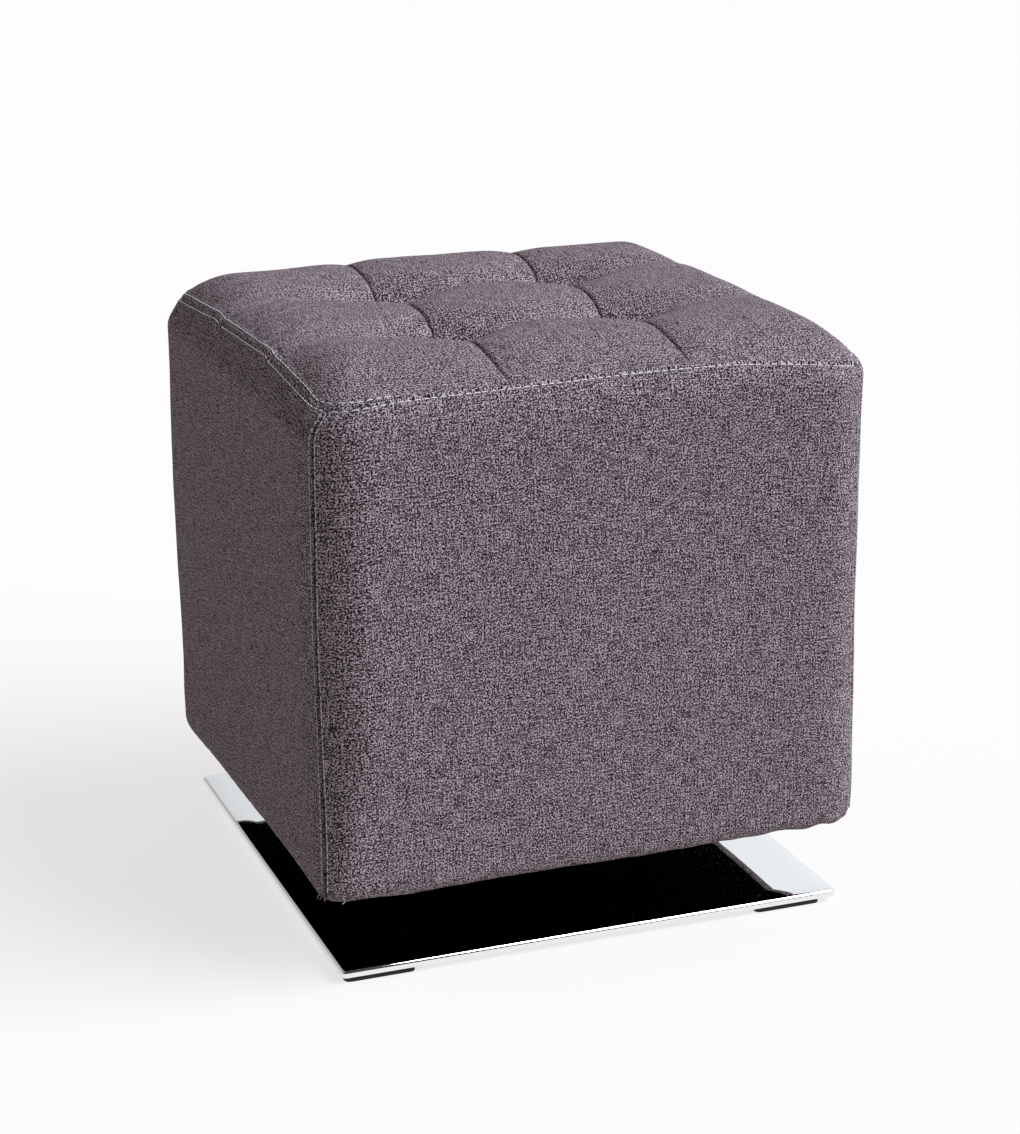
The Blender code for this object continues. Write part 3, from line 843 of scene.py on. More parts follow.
    def panel_point(self, side: Side, along: float, share: float, distance: float) -> Point:
        """Point of a side panel's outer face.

        Args:
            side: which panel.
            along: place along the side.
            share: share of the way round the corner to its seam, 0 on the straight part.
            distance: distance down the face from the top seam.

        Returns:
            The point in world axes.
        """
        place = self.place_beyond(along, share)
        angle = self.corner_angle(side, along, distance)
        seam_z = self.seam_height(side, place)
        shoulder = self.face_half(place, self.shoulder_start_z)
        half, z, lean = self.shoulder_point(shoulder, seam_z, distance)
        if lean <= 0.0:
            half = self.face_half(place, z)
        cut = self.corner_cut(side, along, z)
        relief = self.corner_relief(share, angle, cut)
        if distance < self.edge_of_face.fade:
            top = self.fell_relief(distance, self.edge_of_face)
            relief = min(top, relief) if min(top, relief) < 0.0 else max(top, relief)
        low = eased((z - self.calm_hem_z) / self.calm_hem_run)
        relief += sum(pucker.relief(place, z) for pucker in self.side_puckers[side]) * low
        calm = eased((distance - self.calm_seam_start) / self.calm_seam_run) * low
        _, (ox, oy) = side.value
        relief += calm * self.face_swell.at(place, z, self.side_spacing * oy)
        relief += calm * self.face_ripple.at(place, z, ox)
        half = min(half + relief * math.cos(lean), self.width / 2 + self.proud_limit)
        a, out = self.outline(along, share, angle, half, cut)
        a -= math.copysign(self.seam_shift(share), along)
        x, y, z = side.place(a, out, z + relief * math.sin(lean))
        return x - self.lean(z), y, z

    def seam_shift(self, share: float) -> float:
        """How far the last column of a panel is held back from the next panel."""
        return self.gap / math.sqrt(2.0) if share >= 1.0 - TINY else 0.0


# ---------------------------------------------------------------- finishes


class Nodes:
    """Short names for building a shader."""

    def __init__(self, name: str) -> None:
        """Start a material whose Principled shader is ready to be fed.

        Args:
            name: the material's name.
        """
        self.material = bpy.data.materials.new(name)
        self.material.use_nodes = True
        self.tree = self.material.node_tree
        self.shader = self.tree.nodes["Principled BSDF"]

    def add(self, kind: str, **settings: object) -> bpy.types.Node:
        """Add a node and set its plain settings.

        Args:
            kind: the node's type.
            settings: values of its settings, by name.

        Returns:
            The node.
        """
        node = self.tree.nodes.new(kind)
        for key, value in settings.items():
            setattr(node, key, value)
        return node

    def feed(self, value: object, socket: bpy.types.NodeSocket) -> None:
        """Set a socket to a number or link it to an output.

        Args:
            value: a number, a colour or another node's output.
            socket: the socket that gets it.
        """
        if isinstance(value, bpy.types.NodeSocket):
            self.tree.links.new(value, socket)
        else:
            socket.default_value = value

    def math(self, operation: str, first: object, second: object = 0.0,
             third: object = 0.0) -> bpy.types.NodeSocket:
        """Work out a number with a Math node.

        Args:
            operation: the operation's name.
            first, second, third: numbers or outputs to work on.

        Returns:
            The result's output.
        """
        node = self.add("ShaderNodeMath", operation=operation)
        for value, socket in zip((first, second, third), node.inputs):
            self.feed(value, socket)
        return node.outputs[0]

    def vector(self, x: object, y: object, z: object = 0.0) -> bpy.types.NodeSocket:
        """Join three numbers to a vector.

        Args:
            x, y, z: numbers or outputs.

        Returns:
            The vector's output.
        """
        node = self.add("ShaderNodeCombineXYZ")
        for value, socket in zip((x, y, z), node.inputs):
            self.feed(value, socket)
        return node.outputs[0]

    def split(self, source: bpy.types.NodeSocket) -> tuple[bpy.types.NodeSocket, ...]:
        """Take a vector apart.

        Args:
            source: the vector's output.

        Returns:
            The outputs of its x, y and z.
        """
        node = self.add("ShaderNodeSeparateXYZ")
        self.feed(source, node.inputs[0])
        return tuple(node.outputs)

    def cloud(self, where: object, scale: float, detail: float = 1.0) -> bpy.types.NodeSocket:
        """Soft noise between 0 and 1.

        Args:
            where: the place at which it is read.
            scale: number of its grains to each unit of place.
            detail: number of finer layers added.

        Returns:
            The noise's output.
        """
        node = self.add("ShaderNodeTexNoise")
        self.feed(where, node.inputs["Vector"])
        node.inputs["Scale"].default_value = scale
        node.inputs["Detail"].default_value = detail
        return node.outputs["Fac"]

    def ramp(self, share: object, stops: tuple[tuple[float, Shade], ...]) -> bpy.types.NodeSocket:
        """Read a colour from a ramp.

        Args:
            share: place on the ramp.
            stops: place and colour of each stop.

        Returns:
            The colour's output.
        """
        node = self.add("ShaderNodeValToRGB")
        elements = node.color_ramp.elements
        while len(elements) < len(stops):
            elements.new(0.5)
        for element, (place, colour) in zip(elements, stops):
            element.position = place
            element.color = (*colour, 1.0)
        self.feed(share, node.inputs[0])
        return node.outputs["Color"]

    def bump(self, height: object, strength: float, distance: float) -> None:
        """Feed the shader's normal from a height.

        Args:
            height: the height, as an output.
            strength: how strongly it shows.
            distance: how many metres a height of 1 stands for.
        """
        node = self.add("ShaderNodeBump")
        node.inputs["Strength"].default_value = strength
        node.inputs["Distance"].default_value = distance
        self.feed(height, node.inputs["Height"])
        self.tree.links.new(node.outputs[0], self.shader.inputs["Normal"])


@dataclass(frozen=True)
class WovenCloth:
    """Plain-woven melange: fine pale and dark flecks that run along the warp and the weft."""

    pitch: float = 0.00072
    fleck_width: float = 0.00074
    fleck_length: float = 0.00138
    yarn_run: float = 0.0130
    fleck_contrast: float = 2.10
    yarn_contrast: float = 0.65
    yarn_width: float = 0.001152
    patch_scale: float = 26.0
    patch_contrast: float = 0.06
    patch_detail: float = 2.0
    # strength of the crossings' relief, and of the painted shade and highlight that follow it
    crossing_contrast: float = 0.10
    crossing_depth: float = 0.0002
    dark: Shade = (0.006, 0.004, 0.005)
    middle: Shade = (0.064, 0.049, 0.053)
    light: Shade = (0.316, 0.264, 0.284)
    stops: tuple[float, float, float] = (0.05, 0.50, 1.00)
    roughness: float = 0.92
    shine: float = 0.05

    def material(self) -> bpy.types.Material:
        """Build the material.

        Returns:
            The finished material.
        """
        n = Nodes("woven_cloth")
        where = n.add("ShaderNodeUVMap", uv_map="weave").outputs[0]
        u, v, _ = n.split(where)

        def streaks(across: float, down: float) -> bpy.types.NodeSocket:
            """Soft noise with grains of a given width and height, about 0."""
            place = n.vector(n.math("DIVIDE", u, across), n.math("DIVIDE", v, down))
            return n.math("SUBTRACT", n.cloud(place, 1.0, 0.0), 0.5)

        flecks = n.math("ADD", streaks(self.fleck_width, self.fleck_length),
                        streaks(self.fleck_length, self.fleck_width))
        yarns = n.math("ADD", streaks(self.yarn_width, self.yarn_run),
                       streaks(self.yarn_run, self.yarn_width))
        tone = n.math("MULTIPLY_ADD", flecks, self.fleck_contrast, self.stops[1])
        tone = n.math("MULTIPLY_ADD", yarns, self.yarn_contrast, tone)
        # the dye is a little patchy
        patches = n.math("SUBTRACT", n.cloud(where, self.patch_scale, self.patch_detail), 0.5)
        tone = n.math("MULTIPLY_ADD", patches, self.patch_contrast, tone)
        # seen close to, threads cross over and under; the sunken crossings are painted darker as shade
        # and the raised ones lighter as highlight, along with the bump
        warp = n.math("SINE", n.math("MULTIPLY", u, math.pi / self.pitch))
        weft = n.math("SINE", n.math("MULTIPLY", v, math.pi / self.pitch))
        crossing = n.math("MULTIPLY", warp, weft)
        tone = n.math("MULTIPLY_ADD", crossing, self.crossing_contrast, tone)
        colour = n.ramp(tone, tuple(zip(self.stops, (self.dark, self.middle, self.light))))
        n.feed(colour, n.shader.inputs["Base Color"])
        n.shader.inputs["Roughness"].default_value = self.roughness
        n.shader.inputs["Specular IOR Level"].default_value = self.shine
        n.bump(crossing, self.crossing_contrast, self.crossing_depth)
        return n.material


@dataclass(frozen=True)
class SewingThread:
    """Twisted thread with a fine slanting ply."""

    name: str
    shade: Shade
    ply: float = 5200.0
    ply_depth: float = 0.0001
    ply_strength: float = 0.3
    shaded_side: float = 0.72
    roughness: float = 0.62

    def material(self) -> bpy.types.Material:
        """Build the material.

        Returns:
            The finished material.
        """
        n = Nodes(self.name)
        x, y, z = n.split(n.add("ShaderNodeTexCoord").outputs["Object"])
        twist = n.math("SINE", n.math("MULTIPLY", n.math("ADD", n.math("ADD", x, y), z), self.ply))
        share = n.math("MULTIPLY_ADD", twist, 0.5, 0.5)
        # the darker half of each twist is painted shade on the ply's turned-away side
        low = tuple(part * self.shaded_side for part in self.shade)
        n.feed(n.ramp(share, ((0.0, low), (1.0, self.shade))), n.shader.inputs["Base Color"])
        n.shader.inputs["Roughness"].default_value = self.roughness
        n.bump(share, self.ply_strength, self.ply_depth)
        return n.material


@dataclass(frozen=True)
class MirrorChrome:
    """Polished chrome with a trace of dust and fine wiping marks."""

    shade: Shade = (0.86, 0.87, 0.88)
    polish: float = 0.012
    mark_length: float = 22.0
    mark_width: float = 260.0
    mark_haze: float = 0.030
    mark_detail: float = 2.0
    dust_scale: float = 1500.0
    dust_share: float = 0.745
    dust_haze: float = 0.25

    def material(self) -> bpy.types.Material:
        """Build the material.

        Returns:
            The finished material.
        """
        n = Nodes("mirror_chrome")
        where = n.add("ShaderNodeTexCoord").outputs["Object"]
        x, y, z = n.split(where)
        x, y = n.math("MULTIPLY", x, self.mark_length), n.math("MULTIPLY", y, self.mark_width)
        marks = n.math("MULTIPLY", n.cloud(n.vector(x, y, z), 1.0, self.mark_detail), self.mark_haze)
        specks = n.math("GREATER_THAN", n.cloud(where, self.dust_scale), self.dust_share)
        rough = n.math("ADD", marks, n.math("MULTIPLY", specks, self.dust_haze))
        n.feed(n.math("ADD", rough, self.polish), n.shader.inputs["Roughness"])
        n.shader.inputs["Base Color"].default_value = (*self.shade, 1.0)
        n.shader.inputs["Metallic"].default_value = 1.0
        return n.material


@dataclass(frozen=True)
class DarkFinish:
    """A plain dark surface with a fine grain, for what lies under the cube and the plate."""

    name: str
    shade: Shade
    roughness: float
    grain: float
    relief: float
    shine: float
    shaded_side: float = 0.6
    haze: float = 0.12
    grain_detail: float = 3.0
    grain_low: float = 0.3
    grain_high: float = 0.7
    grain_strength: float = 0.35

    def material(self) -> bpy.types.Material:
        """Build the material.

        Returns:
            The finished material.
        """
        n = Nodes(self.name)
        where = n.add("ShaderNodeTexCoord").outputs["Object"]
        grain = n.cloud(where, self.grain, self.grain_detail)
        low = tuple(part * self.shaded_side for part in self.shade)
        stops = ((self.grain_low, low), (self.grain_high, self.shade))
        n.feed(n.ramp(grain, stops), n.shader.inputs["Base Color"])
        rough = n.math("MULTIPLY_ADD", grain, self.haze, self.roughness - self.haze / 2)
        n.feed(rough, n.shader.inputs["Roughness"])
        n.shader.inputs["Specular IOR Level"].default_value = self.shine
        n.bump(grain, self.grain_strength, self.relief)
        return n.material


# ---------------------------------------------------------------- the cover


@dataclass
class TopCover:
    """The three tufted strips of the top."""

    shape: CoverShape
    cloth: bpy.types.Material
    fine: float = 0.0008
    coarse: float = 0.0024
    fine_reach: float = 0.0096
    seam_reach: float = 0.0050
    fill: float = 0.75

    def rows(self) -> list[float]:
        """Places of the net's rows from the front to the back, on the square outline."""
        half = self.shape.seam_half - self.shape.gap / 2
        return graded(-half, half, self.fine, self.coarse, (self.fine_reach, self.fine_reach))

    def columns(self, strip: Strip, y: float) -> list[float]:
        """Places of a strip's columns at a row, on the square outline.

        Args:
            strip: which strip.
            y: the row's distance from the middle.

        Returns:
            The places in rising order.
        """
        half = self.shape.seam_half - self.shape.gap / 2
        low, high = -half, half
        reach = [self.fine_reach, self.fine_reach]
        if strip.value[0] is not None:
            low = self.shape.pillow_seam_x(strip.value[0], y) + self.shape.gap / 2
            reach[0] = self.seam_reach
        if strip.value[1] is not None:
            high = self.shape.pillow_seam_x(strip.value[1], y) - self.shape.gap / 2
            reach[1] = self.seam_reach
        middle = self.shape.pillow_seam_x(0, 0.0), self.shape.pillow_seam_x(1, 0.0)
        bounds = [-half if strip.value[0] is None else middle[strip.value[0]],
                  half if strip.value[1] is None else middle[strip.value[1]]]
        places = graded(bounds[0], bounds[1], self.fine, self.coarse, (reach[0], reach[1]))
        stretch = (high - low) / (bounds[1] - bounds[0])
        return [low + (place - bounds[0]) * stretch for place in places]

    def build(self, strip: Strip) -> bpy.types.Object:
        """Make one strip: tufted above, with its edge drawn in to the flat underside.

        Args:
            strip: which strip.

        Returns:
            The finished piece, riding on the seat.
        """
        shape = self.shape
        half = shape.seam_half - shape.gap / 2
        net = [(x, y) for y in self.rows() for x in self.columns(strip, y)]
        row_count = len(self.rows())
        count = len(net) // row_count
        points: list[Point] = []
        places: list[tuple[float, float]] = []
        for x, y in net:
            px, py = shape.bend_corner(x, y, half)
            points.append(shape.top_point(px, py))
            places.append((px, py))
        faces = [(r * count + c, r * count + c + 1, (r + 1) * count + c + 1, (r + 1) * count + c)
                 for r in range(row_count - 1) for c in range(count - 1)]
        last = row_count - 1
        border = list(range(count)) + [r * count + count - 1 for r in range(1, row_count)]
        border += [last * count + c for c in range(count - 2, -1, -1)]
        border += [r * count for r in range(last - 1, 0, -1)]
        upper = border
        low_half = shape.wall_inner - shape.gap / 2
        for to_half, z in ((half, shape.wall_ledge_z), (low_half, shape.top_underside_z)):
            lower = [len(points) + i for i in range(len(border))]
            for number in border:
                x, y = net[number]
                bent = shape.bend_corner(shape.squeeze(x, half, to_half),
                                         shape.squeeze(y, half, to_half), to_half)
                points.append((*bent, z))
                places.append(bent)
            for i in range(len(border)):
                j = (i + 1) % len(border)
                faces.append((upper[i], upper[j], lower[j], lower[i]))
            upper = lower
        faces.append(tuple(upper))
        piece = make_piece(f"cover_top_{strip.label}", points, faces, self.cloth)
        lay_weave(piece, places)
        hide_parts(f"top_cover_{strip.label}")
        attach(piece, SEAT)
        return piece


@dataclass
class SideCover:
    """The four side panels, each with its hem turned under."""

    shape: CoverShape
    cloth: bpy.types.Material
    fine: float = 0.0008
    coarse: float = 0.0030
    fine_reach: float = 0.0096
    corner_step: float = 0.0022
    turned_step: float = 0.003
    fill: float = 0.85

    def columns(self) -> list[tuple[float, float]]:
        """Columns of a panel from end to end.

        Returns:
            For each column its place along and its share of the way to the corner seam.
        """
        shape = self.shape
        arc = (shape.face_half_top - shape.corner_centre) * CORNER_TURN
        steps = graded(0.0, arc, self.fine, self.corner_step, (0.0, self.fine_reach))
        round_part = [place / arc for place in steps]
        flat = graded(-shape.corner_centre, shape.corner_centre, self.coarse, self.coarse, (0.0, 0.0))
        columns = [(-shape.corner_centre, share) for share in reversed(round_part[1:])]
        columns += [(place, 0.0) for place in flat]
        columns += [(shape.corner_centre, share) for share in round_part[1:]]
        return columns

    def section(self, side: Side, along: float, share: float) -> tuple[list[Point], list[float]]:
        """Closed section of a panel at one column.

        Args:
            side: which panel.
            along: place along the side.
            share: share of the way round the corner to its seam.

        Returns:
            The section's points, and each one's distance down the cloth from the seam.
        """
        shape = self.shape
        place = shape.place_beyond(along, share)
        seam_z = shape.seam_height(side, place)
        hem_z = shape.hem_height(side, place)
        radius, turn = shape.shoulder_arc(shape.face_half(place, shape.shoulder_start_z), seam_z)
        reach = radius * turn + shape.shoulder_start_z - (hem_z + shape.hem_section[0][1])
        steps = graded(0.0, reach, self.fine, self.coarse, (self.fine_reach, 0.0))
        points = [shape.panel_point(side, along, share, step) for step in steps]
        places = list(steps)
        low_angle = shape.corner_angle(side, along, reach)
        inner = shape.wall_inner + shape.gap / 2
        ledge = shape.seam_half + shape.gap / 2
        cut = shape.corner_cut(side, along, hem_z)
        low = shape.face_half(place, hem_z) + shape.corner_relief(share, low_angle, cut)
        rest = [(low - inset, hem_z + lift, low_angle, shape.corner_cut(side, along, hem_z + lift))
                for inset, lift in shape.hem_section[1:]]
        rest += [(inner, shape.hem_inner_z, low_angle, 0.0),
                 (inner, shape.top_underside_z, CORNER_TURN, 0.0),
                 (ledge, shape.wall_ledge_z, CORNER_TURN, 0.0)]
        for half, z, angle, cut in rest:
            a, out = shape.outline(along, share, angle, half, cut)
            points.append(side.place(a - math.copysign(shape.seam_shift(share), along), out, z))
            places.append(places[-1] + self.turned_step)
        return points, places

    def build(self, side: Side) -> bpy.types.Object:
        """Make one panel: shoulder, face, and hem turned under.

        Args:
            side: which side.

        Returns:
            The finished piece, riding on the seat.
        """
        shape = self.shape
        radius = shape.face_half_top - shape.corner_centre
        points: list[Point] = []
        cloth_places: list[tuple[float, float]] = []
        columns = self.columns()
        for along, share in columns:
            section, downs = self.section(side, along, share)
            across = along + math.copysign(radius * CORNER_TURN * share, along) + self.cloth_start(side)
            points += section
            cloth_places += [(across, -down) for down in downs]
        ring = len(points) // len(columns)
        faces = tube_faces(0, len(columns), ring)
        piece = make_piece(f"cover_side_{side.label}", points, faces, self.cloth)
        lay_weave(piece, cloth_places)
        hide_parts(f"side_cover_{side.label}")
        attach(piece, SEAT)
        return piece

    @staticmethod
    def cloth_start(side: Side) -> float:
        """Where on the roll the panel was cut, so that no two panels show the same threads."""
        return 1.0 + list(Side).index(side)


# ---------------------------------------------------------------- sewing


@dataclass
class Sewing:
    """The visible rows of stitches, each row one mesh of separate stitches."""

    shape: CoverShape
    threads: dict[Thread, bpy.types.Material]
    pitch: float = 0.0057
    length: float = 0.0041
    upright_pitch: float = 0.0046
    upright_length: float = 0.0037
    line_pitch: float = 0.0050
    line_length: float = 0.0044
    radius: float = 0.00034
    lift: float = 0.00052
    thin_end: float = 0.62
    dive: float = 1.3
    rings: int = 5
    around: int = 6
    # how unevenly the hand guides the cloth: share of a pitch, and shortest and longest stitch
    wander: float = 0.06
    shortest: float = 0.90
    longest: float = 1.06
    # where the rows start and stop
    upright_top: float = 0.0022
    upright_bottom: float = 0.330
    top_row_end: float = 0.1845
    front_row_end: float = -0.148
    line_end_inset: float = 0.0065
    line_stops: tuple[tuple[float, float], ...] = ((-0.072, 0.068), (-0.060, 0.080))
    # where the random draws of each kind of row start; each row of a kind adds its own number
    face_seed: int = 10
    front_corner_seed: int = 20
    top_seed: int = 21
    upright_seed: int = 40
    front_line_seed: int = 60
    back_line_seed: int = 70
    # for outward directions: the distance between the points compared, and a height inside the cube
    probe: float = 0.0006
    inside_z: float = 0.25
    # the largest share of the way round a corner that surely lies on this panel
    almost_there: float = 0.999

    def stitch(self, points: list[Point], faces: list[tuple[int, ...]], start: Vector, end: Vector,
               outward: Vector) -> None:
        """Add one stitch: a short bowed thread whose ends go down into the cloth.

        Args:
            points: points of the row so far.
            faces: faces of the row so far.
            start: where the thread comes up.
            end: where it goes down.
            outward: the cloth's outward direction there.
        """
        along = (end - start).normalized()
        sideways = along.cross(outward).normalized()
        first = len(points)
        for ring in range(self.rings):
            t = ring / (self.rings - 1)
            bow = math.sin(math.pi * t)
            height = self.lift - self.radius * self.dive * (1.0 - bow) ** 2
            centre = start.lerp(end, t) + outward * height
            thick = self.radius * (self.thin_end + (1.0 - self.thin_end) * bow)
            for step in range(self.around):
                turn = 2 * math.pi * step / self.around
                offset = sideways * math.cos(turn) + outward * math.sin(turn)
                points.append(tuple(centre + offset * thick))
        faces += tube_faces(first, self.rings, self.around)

    def row(self, name: str, surface: Callable[[float], tuple[Point, Vector]], reach: float,
            thread: Thread, pitch: float, length: float, seed: int) -> bpy.types.Object:
        """One row of stitches along a line on the cloth.

        Args:
            name: the row's name.
            surface: point and outward direction at a share from 0 to 1 of the line.
            reach: the line's length.
            thread: which thread it is sewn with.
            pitch: distance from one stitch to the next.
            length: length of a stitch.
            seed: start of this row's own random draws.

        Returns:
            The finished piece, riding on the seat.
        """
        draw = random.Random(seed)
        points: list[Point] = []
        faces: list[tuple[int, ...]] = []
        count = int(reach / pitch)
        for number in range(count):
            middle = (number + 0.5 + draw.uniform(-self.wander, self.wander)) / count
            half = length / 2 / reach * draw.uniform(self.shortest, self.longest)
            start, _ = surface(max(middle - half, 0.0))
            end, _ = surface(min(middle + half, 1.0))
            _, outward = surface(middle)
            self.stitch(points, faces, Vector(start), Vector(end), outward)
        piece = make_piece(name, points, faces, self.threads[thread])
        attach(piece, SEAT)
        return piece

    def facing(self, where: Callable[[float, float], Point], a: float,
               b: float) -> tuple[Point, Vector]:
        """Point of a surface and its outward direction, from points close by.

        Args:
            where: the surface, as a point for two places on it.
            a, b: the two places.

        Returns:
            The point and the outward direction.
        """
        step = self.probe
        here = Vector(where(a, b))
        one = Vector(where(a + step, b)) - Vector(where(a - step, b))
        two = Vector(where(a, b + step)) - Vector(where(a, b - step))
        outward = one.cross(two).normalized()
        away = Vector((here.x, here.y, max(here.z - self.inside_z, 0.0)))
        return tuple(here), outward if outward.dot(away) > 0 else -outward

    def top_edge(self, side: Side, start: float, stop: float, name: str, seed: int) -> bpy.types.Object:
        """The row on the top's side of the edge seam.

        Args:
            side: which side.
            start, stop: places along the side at which the row starts and stops.
            name: the row's name.
            seed: start of the row's random draws.

        Returns:
            The finished piece, riding on the seat.
        """
        shape = self.shape
        inset = shape.seam_half - shape.edge_of_top.row

        def surface(share: float) -> tuple[Point, Vector]:
            """Point and outward direction at a share of the row.

            Args:
                share: share of the row's length, from 0 to 1.

            Returns:
                The point and the outward direction.
            """
            along = start + (stop - start) * share
            limit = shape.corner_centre
            if abs(along) > limit:
                turn = (abs(along) - limit) / (inset - limit)
                a = math.copysign(limit + (inset - limit) * math.sin(turn), along)
                out = limit + (inset - limit) * math.cos(turn)
            else:
                a, out = along, inset
            x, y, _ = side.place(a, out, 0.0)
            return self.facing(shape.top_point, x, y)

        return self.row(name, surface, stop - start, Thread.PALE, self.pitch, self.length, seed)

    def face_edge(self, side: Side, name: str, seed: int) -> bpy.types.Object:
        """The row on the face's side of the edge seam, from corner seam to corner seam.

        Args:
            side: which side.
            name: the row's name.
            seed: start of the row's random draws.

        Returns:
            The finished piece, riding on the seat.
        """
        shape = self.shape
        full_arc = (shape.seam_half - shape.corner_centre) * CORNER_TURN
        arc = full_arc - shape.edge_of_corner.row
        total = 2 * (shape.corner_centre + arc)

        def surface(share: float) -> tuple[Point, Vector]:
            """Point and outward direction at a share of the row.

            Args:
                share: share of the row's length, from 0 to 1.

            Returns:
                The point and the outward direction.
            """
            along = -total / 2 + total * share

            def where(a: float, down: float) -> Point:
                """Point of the face at a place along its outline and a distance down.

                Args:
                    a: place along the outline.
                    down: distance down the cloth from the seam.

                Returns:
                    The point in world axes.
                """
                turned = max((abs(a) - shape.corner_centre) / full_arc, 0.0)
                flat = a if turned <= 0.0 else math.copysign(shape.corner_centre, a)
                return shape.panel_point(side, flat, min(turned, self.almost_there), down)

            return self.facing(where, along, shape.edge_of_face.row)

        return self.row(name, surface, total, Thread.PALE, self.pitch, self.length, seed)

    def upright(self, side: Side, end: float, name: str, seed: int) -> bpy.types.Object:
        """The row beside an upright corner seam.

        Args:
            side: which side.
            end: the corner at its left (-1) or its right (1).
            name: the row's name.
            seed: start of the row's random draws.

        Returns:
            The finished piece, riding on the seat.
        """
        shape = self.shape
        reach = self.upright_bottom - self.upright_top

        def where(offset: float, down: float) -> Point:
            """Point of the corner at a distance from its seam and a distance down.

            Args:
                offset: distance from the corner's seam.
                down: distance down from the top seam.

            Returns:
                The point in world axes.
            """
            arc = shape.corner_run(shape.face_half_top, shape.corner_angle(side, end, down),
                                   shape.corner_cut(side, end, shape.seam_top_z - down))
            turned = min(1.0 - offset / arc, self.almost_there)
            return shape.panel_point(side, end * shape.corner_centre, turned, down)

        def surface(share: float) -> tuple[Point, Vector]:
            """Point and outward direction at a share of the row."""
            return self.facing(where, shape.edge_of_corner.row, self.upright_top + reach * share)

        # the corner rows use the pale thread darkened as painted shade
        return self.row(name, surface, reach, Thread.DULL, self.upright_pitch, self.upright_length, seed)

    def pillow_line(self, index: int, start: float, stop: float, name: str,
                    seed: int) -> bpy.types.Object:
        """Dark stitches in one of the top's sewn lines.

        Args:
            index: which line.
            start, stop: y at which the row starts and stops.
            name: the row's name.
            seed: start of the row's random draws.

        Returns:
            The finished piece, riding on the seat.
        """
        shape = self.shape

        def surface(share: float) -> tuple[Point, Vector]:
            """Point and outward direction at a share of the row."""
            y = start + (stop - start) * share
            return self.facing(shape.top_point, shape.pillow_seam_x(index, y), y)

        reach = stop - start
        return self.row(name, surface, reach, Thread.DARK, self.line_pitch, self.line_length, seed)

    def build(self) -> list[bpy.types.Object]:
        """Sew every row. The front's upper row shows only near the left corner.

        Returns:
            The finished rows.
        """
        rows = []
        end = self.top_row_end
        for number, side in enumerate(Side):
            rows.append(self.face_edge(side, f"stitches_face_{side.label}", self.face_seed + number))
            if side is Side.FRONT:
                name, stop, seed = "stitches_top_front_corner", self.front_row_end, self.front_corner_seed
            else:
                name, stop, seed = f"stitches_top_{side.label}", end, self.top_seed + number
            rows.append(self.top_edge(side, -end, stop, name, seed))
            for sign, label in ((-1.0, "a"), (1.0, "b")):
                name = f"stitches_upright_{side.label}_{label}"
                seed = self.upright_seed + 2 * number + int(sign > 0)
                rows.append(self.upright(side, sign, name, seed))
        edge = self.shape.seam_half - self.line_end_inset
        for index, (front, back) in enumerate(self.line_stops):
            for label, start, stop, seed in (("front", -edge, front, self.front_line_seed),
                                             ("back", back, edge, self.back_line_seed)):
                name = f"stitches_line_{label}_{index}"
                rows.append(self.pillow_line(index, start, stop, name, seed + index))
        return rows


@dataclass
class LooseThreads:
    """The few frayed ends that stick out at the hem of the near corner."""

    shape: CoverShape
    sides: SideCover
    thread: bpy.types.Material
    radius: float = 0.00013
    count: int = 7
    seed: int = 5
    front_share: float = 0.6
    round_corner: tuple[float, float] = (0.55, 0.98)
    # range of the direction they stick out in, of their length and of how far the tip hangs
    aim: tuple[tuple[float, float], ...] = ((-0.9, 0.3), (-0.9, -0.1), (-0.6, 0.1))
    length: tuple[float, float] = (0.0016, 0.0034)
    droop: tuple[float, float] = (0.0002, 0.0010)
    rings: int = 4
    around: int = 5

    def build(self) -> bpy.types.Object:
        """Make short thin curved threads, joined in one mesh.

        Returns:
            The finished piece, riding on the seat.
        """
        draw = random.Random(self.seed)
        points: list[Point] = []
        faces: list[tuple[int, ...]] = []
        for _ in range(self.count):
            at_front = draw.random() < self.front_share
            side, end = (Side.FRONT, -1.0) if at_front else (Side.LEFT, 1.0)
            share = draw.uniform(*self.round_corner)
            section, _ = self.sides.section(side, end * self.shape.corner_centre, share)
            # these points of the section lie on the rounded fold of the hem
            root = Vector(section[draw.randint(-9, -7)])
            aim = Vector([draw.uniform(*span) for span in self.aim]).normalized()
            aim *= draw.uniform(*self.length)
            sag = Vector((0.0, 0.0, -draw.uniform(*self.droop)))
            first = len(points)
            for ring in range(self.rings):
                t = ring / (self.rings - 1)
                centre = root + aim * t + sag * t * t
                for step in range(self.around):
                    turn = 2 * math.pi * step / self.around
                    points.append((centre.x + self.radius * math.cos(turn),
                                   centre.y + self.radius / 2 * math.sin(turn),
                                   centre.z + self.radius * math.sin(turn)))
            faces += tube_faces(first, self.rings, self.around)
        piece = make_piece("frayed_hem_threads", points, faces, self.thread)
        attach(piece, SEAT)
        return piece


# ---------------------------------------------------------------- the base


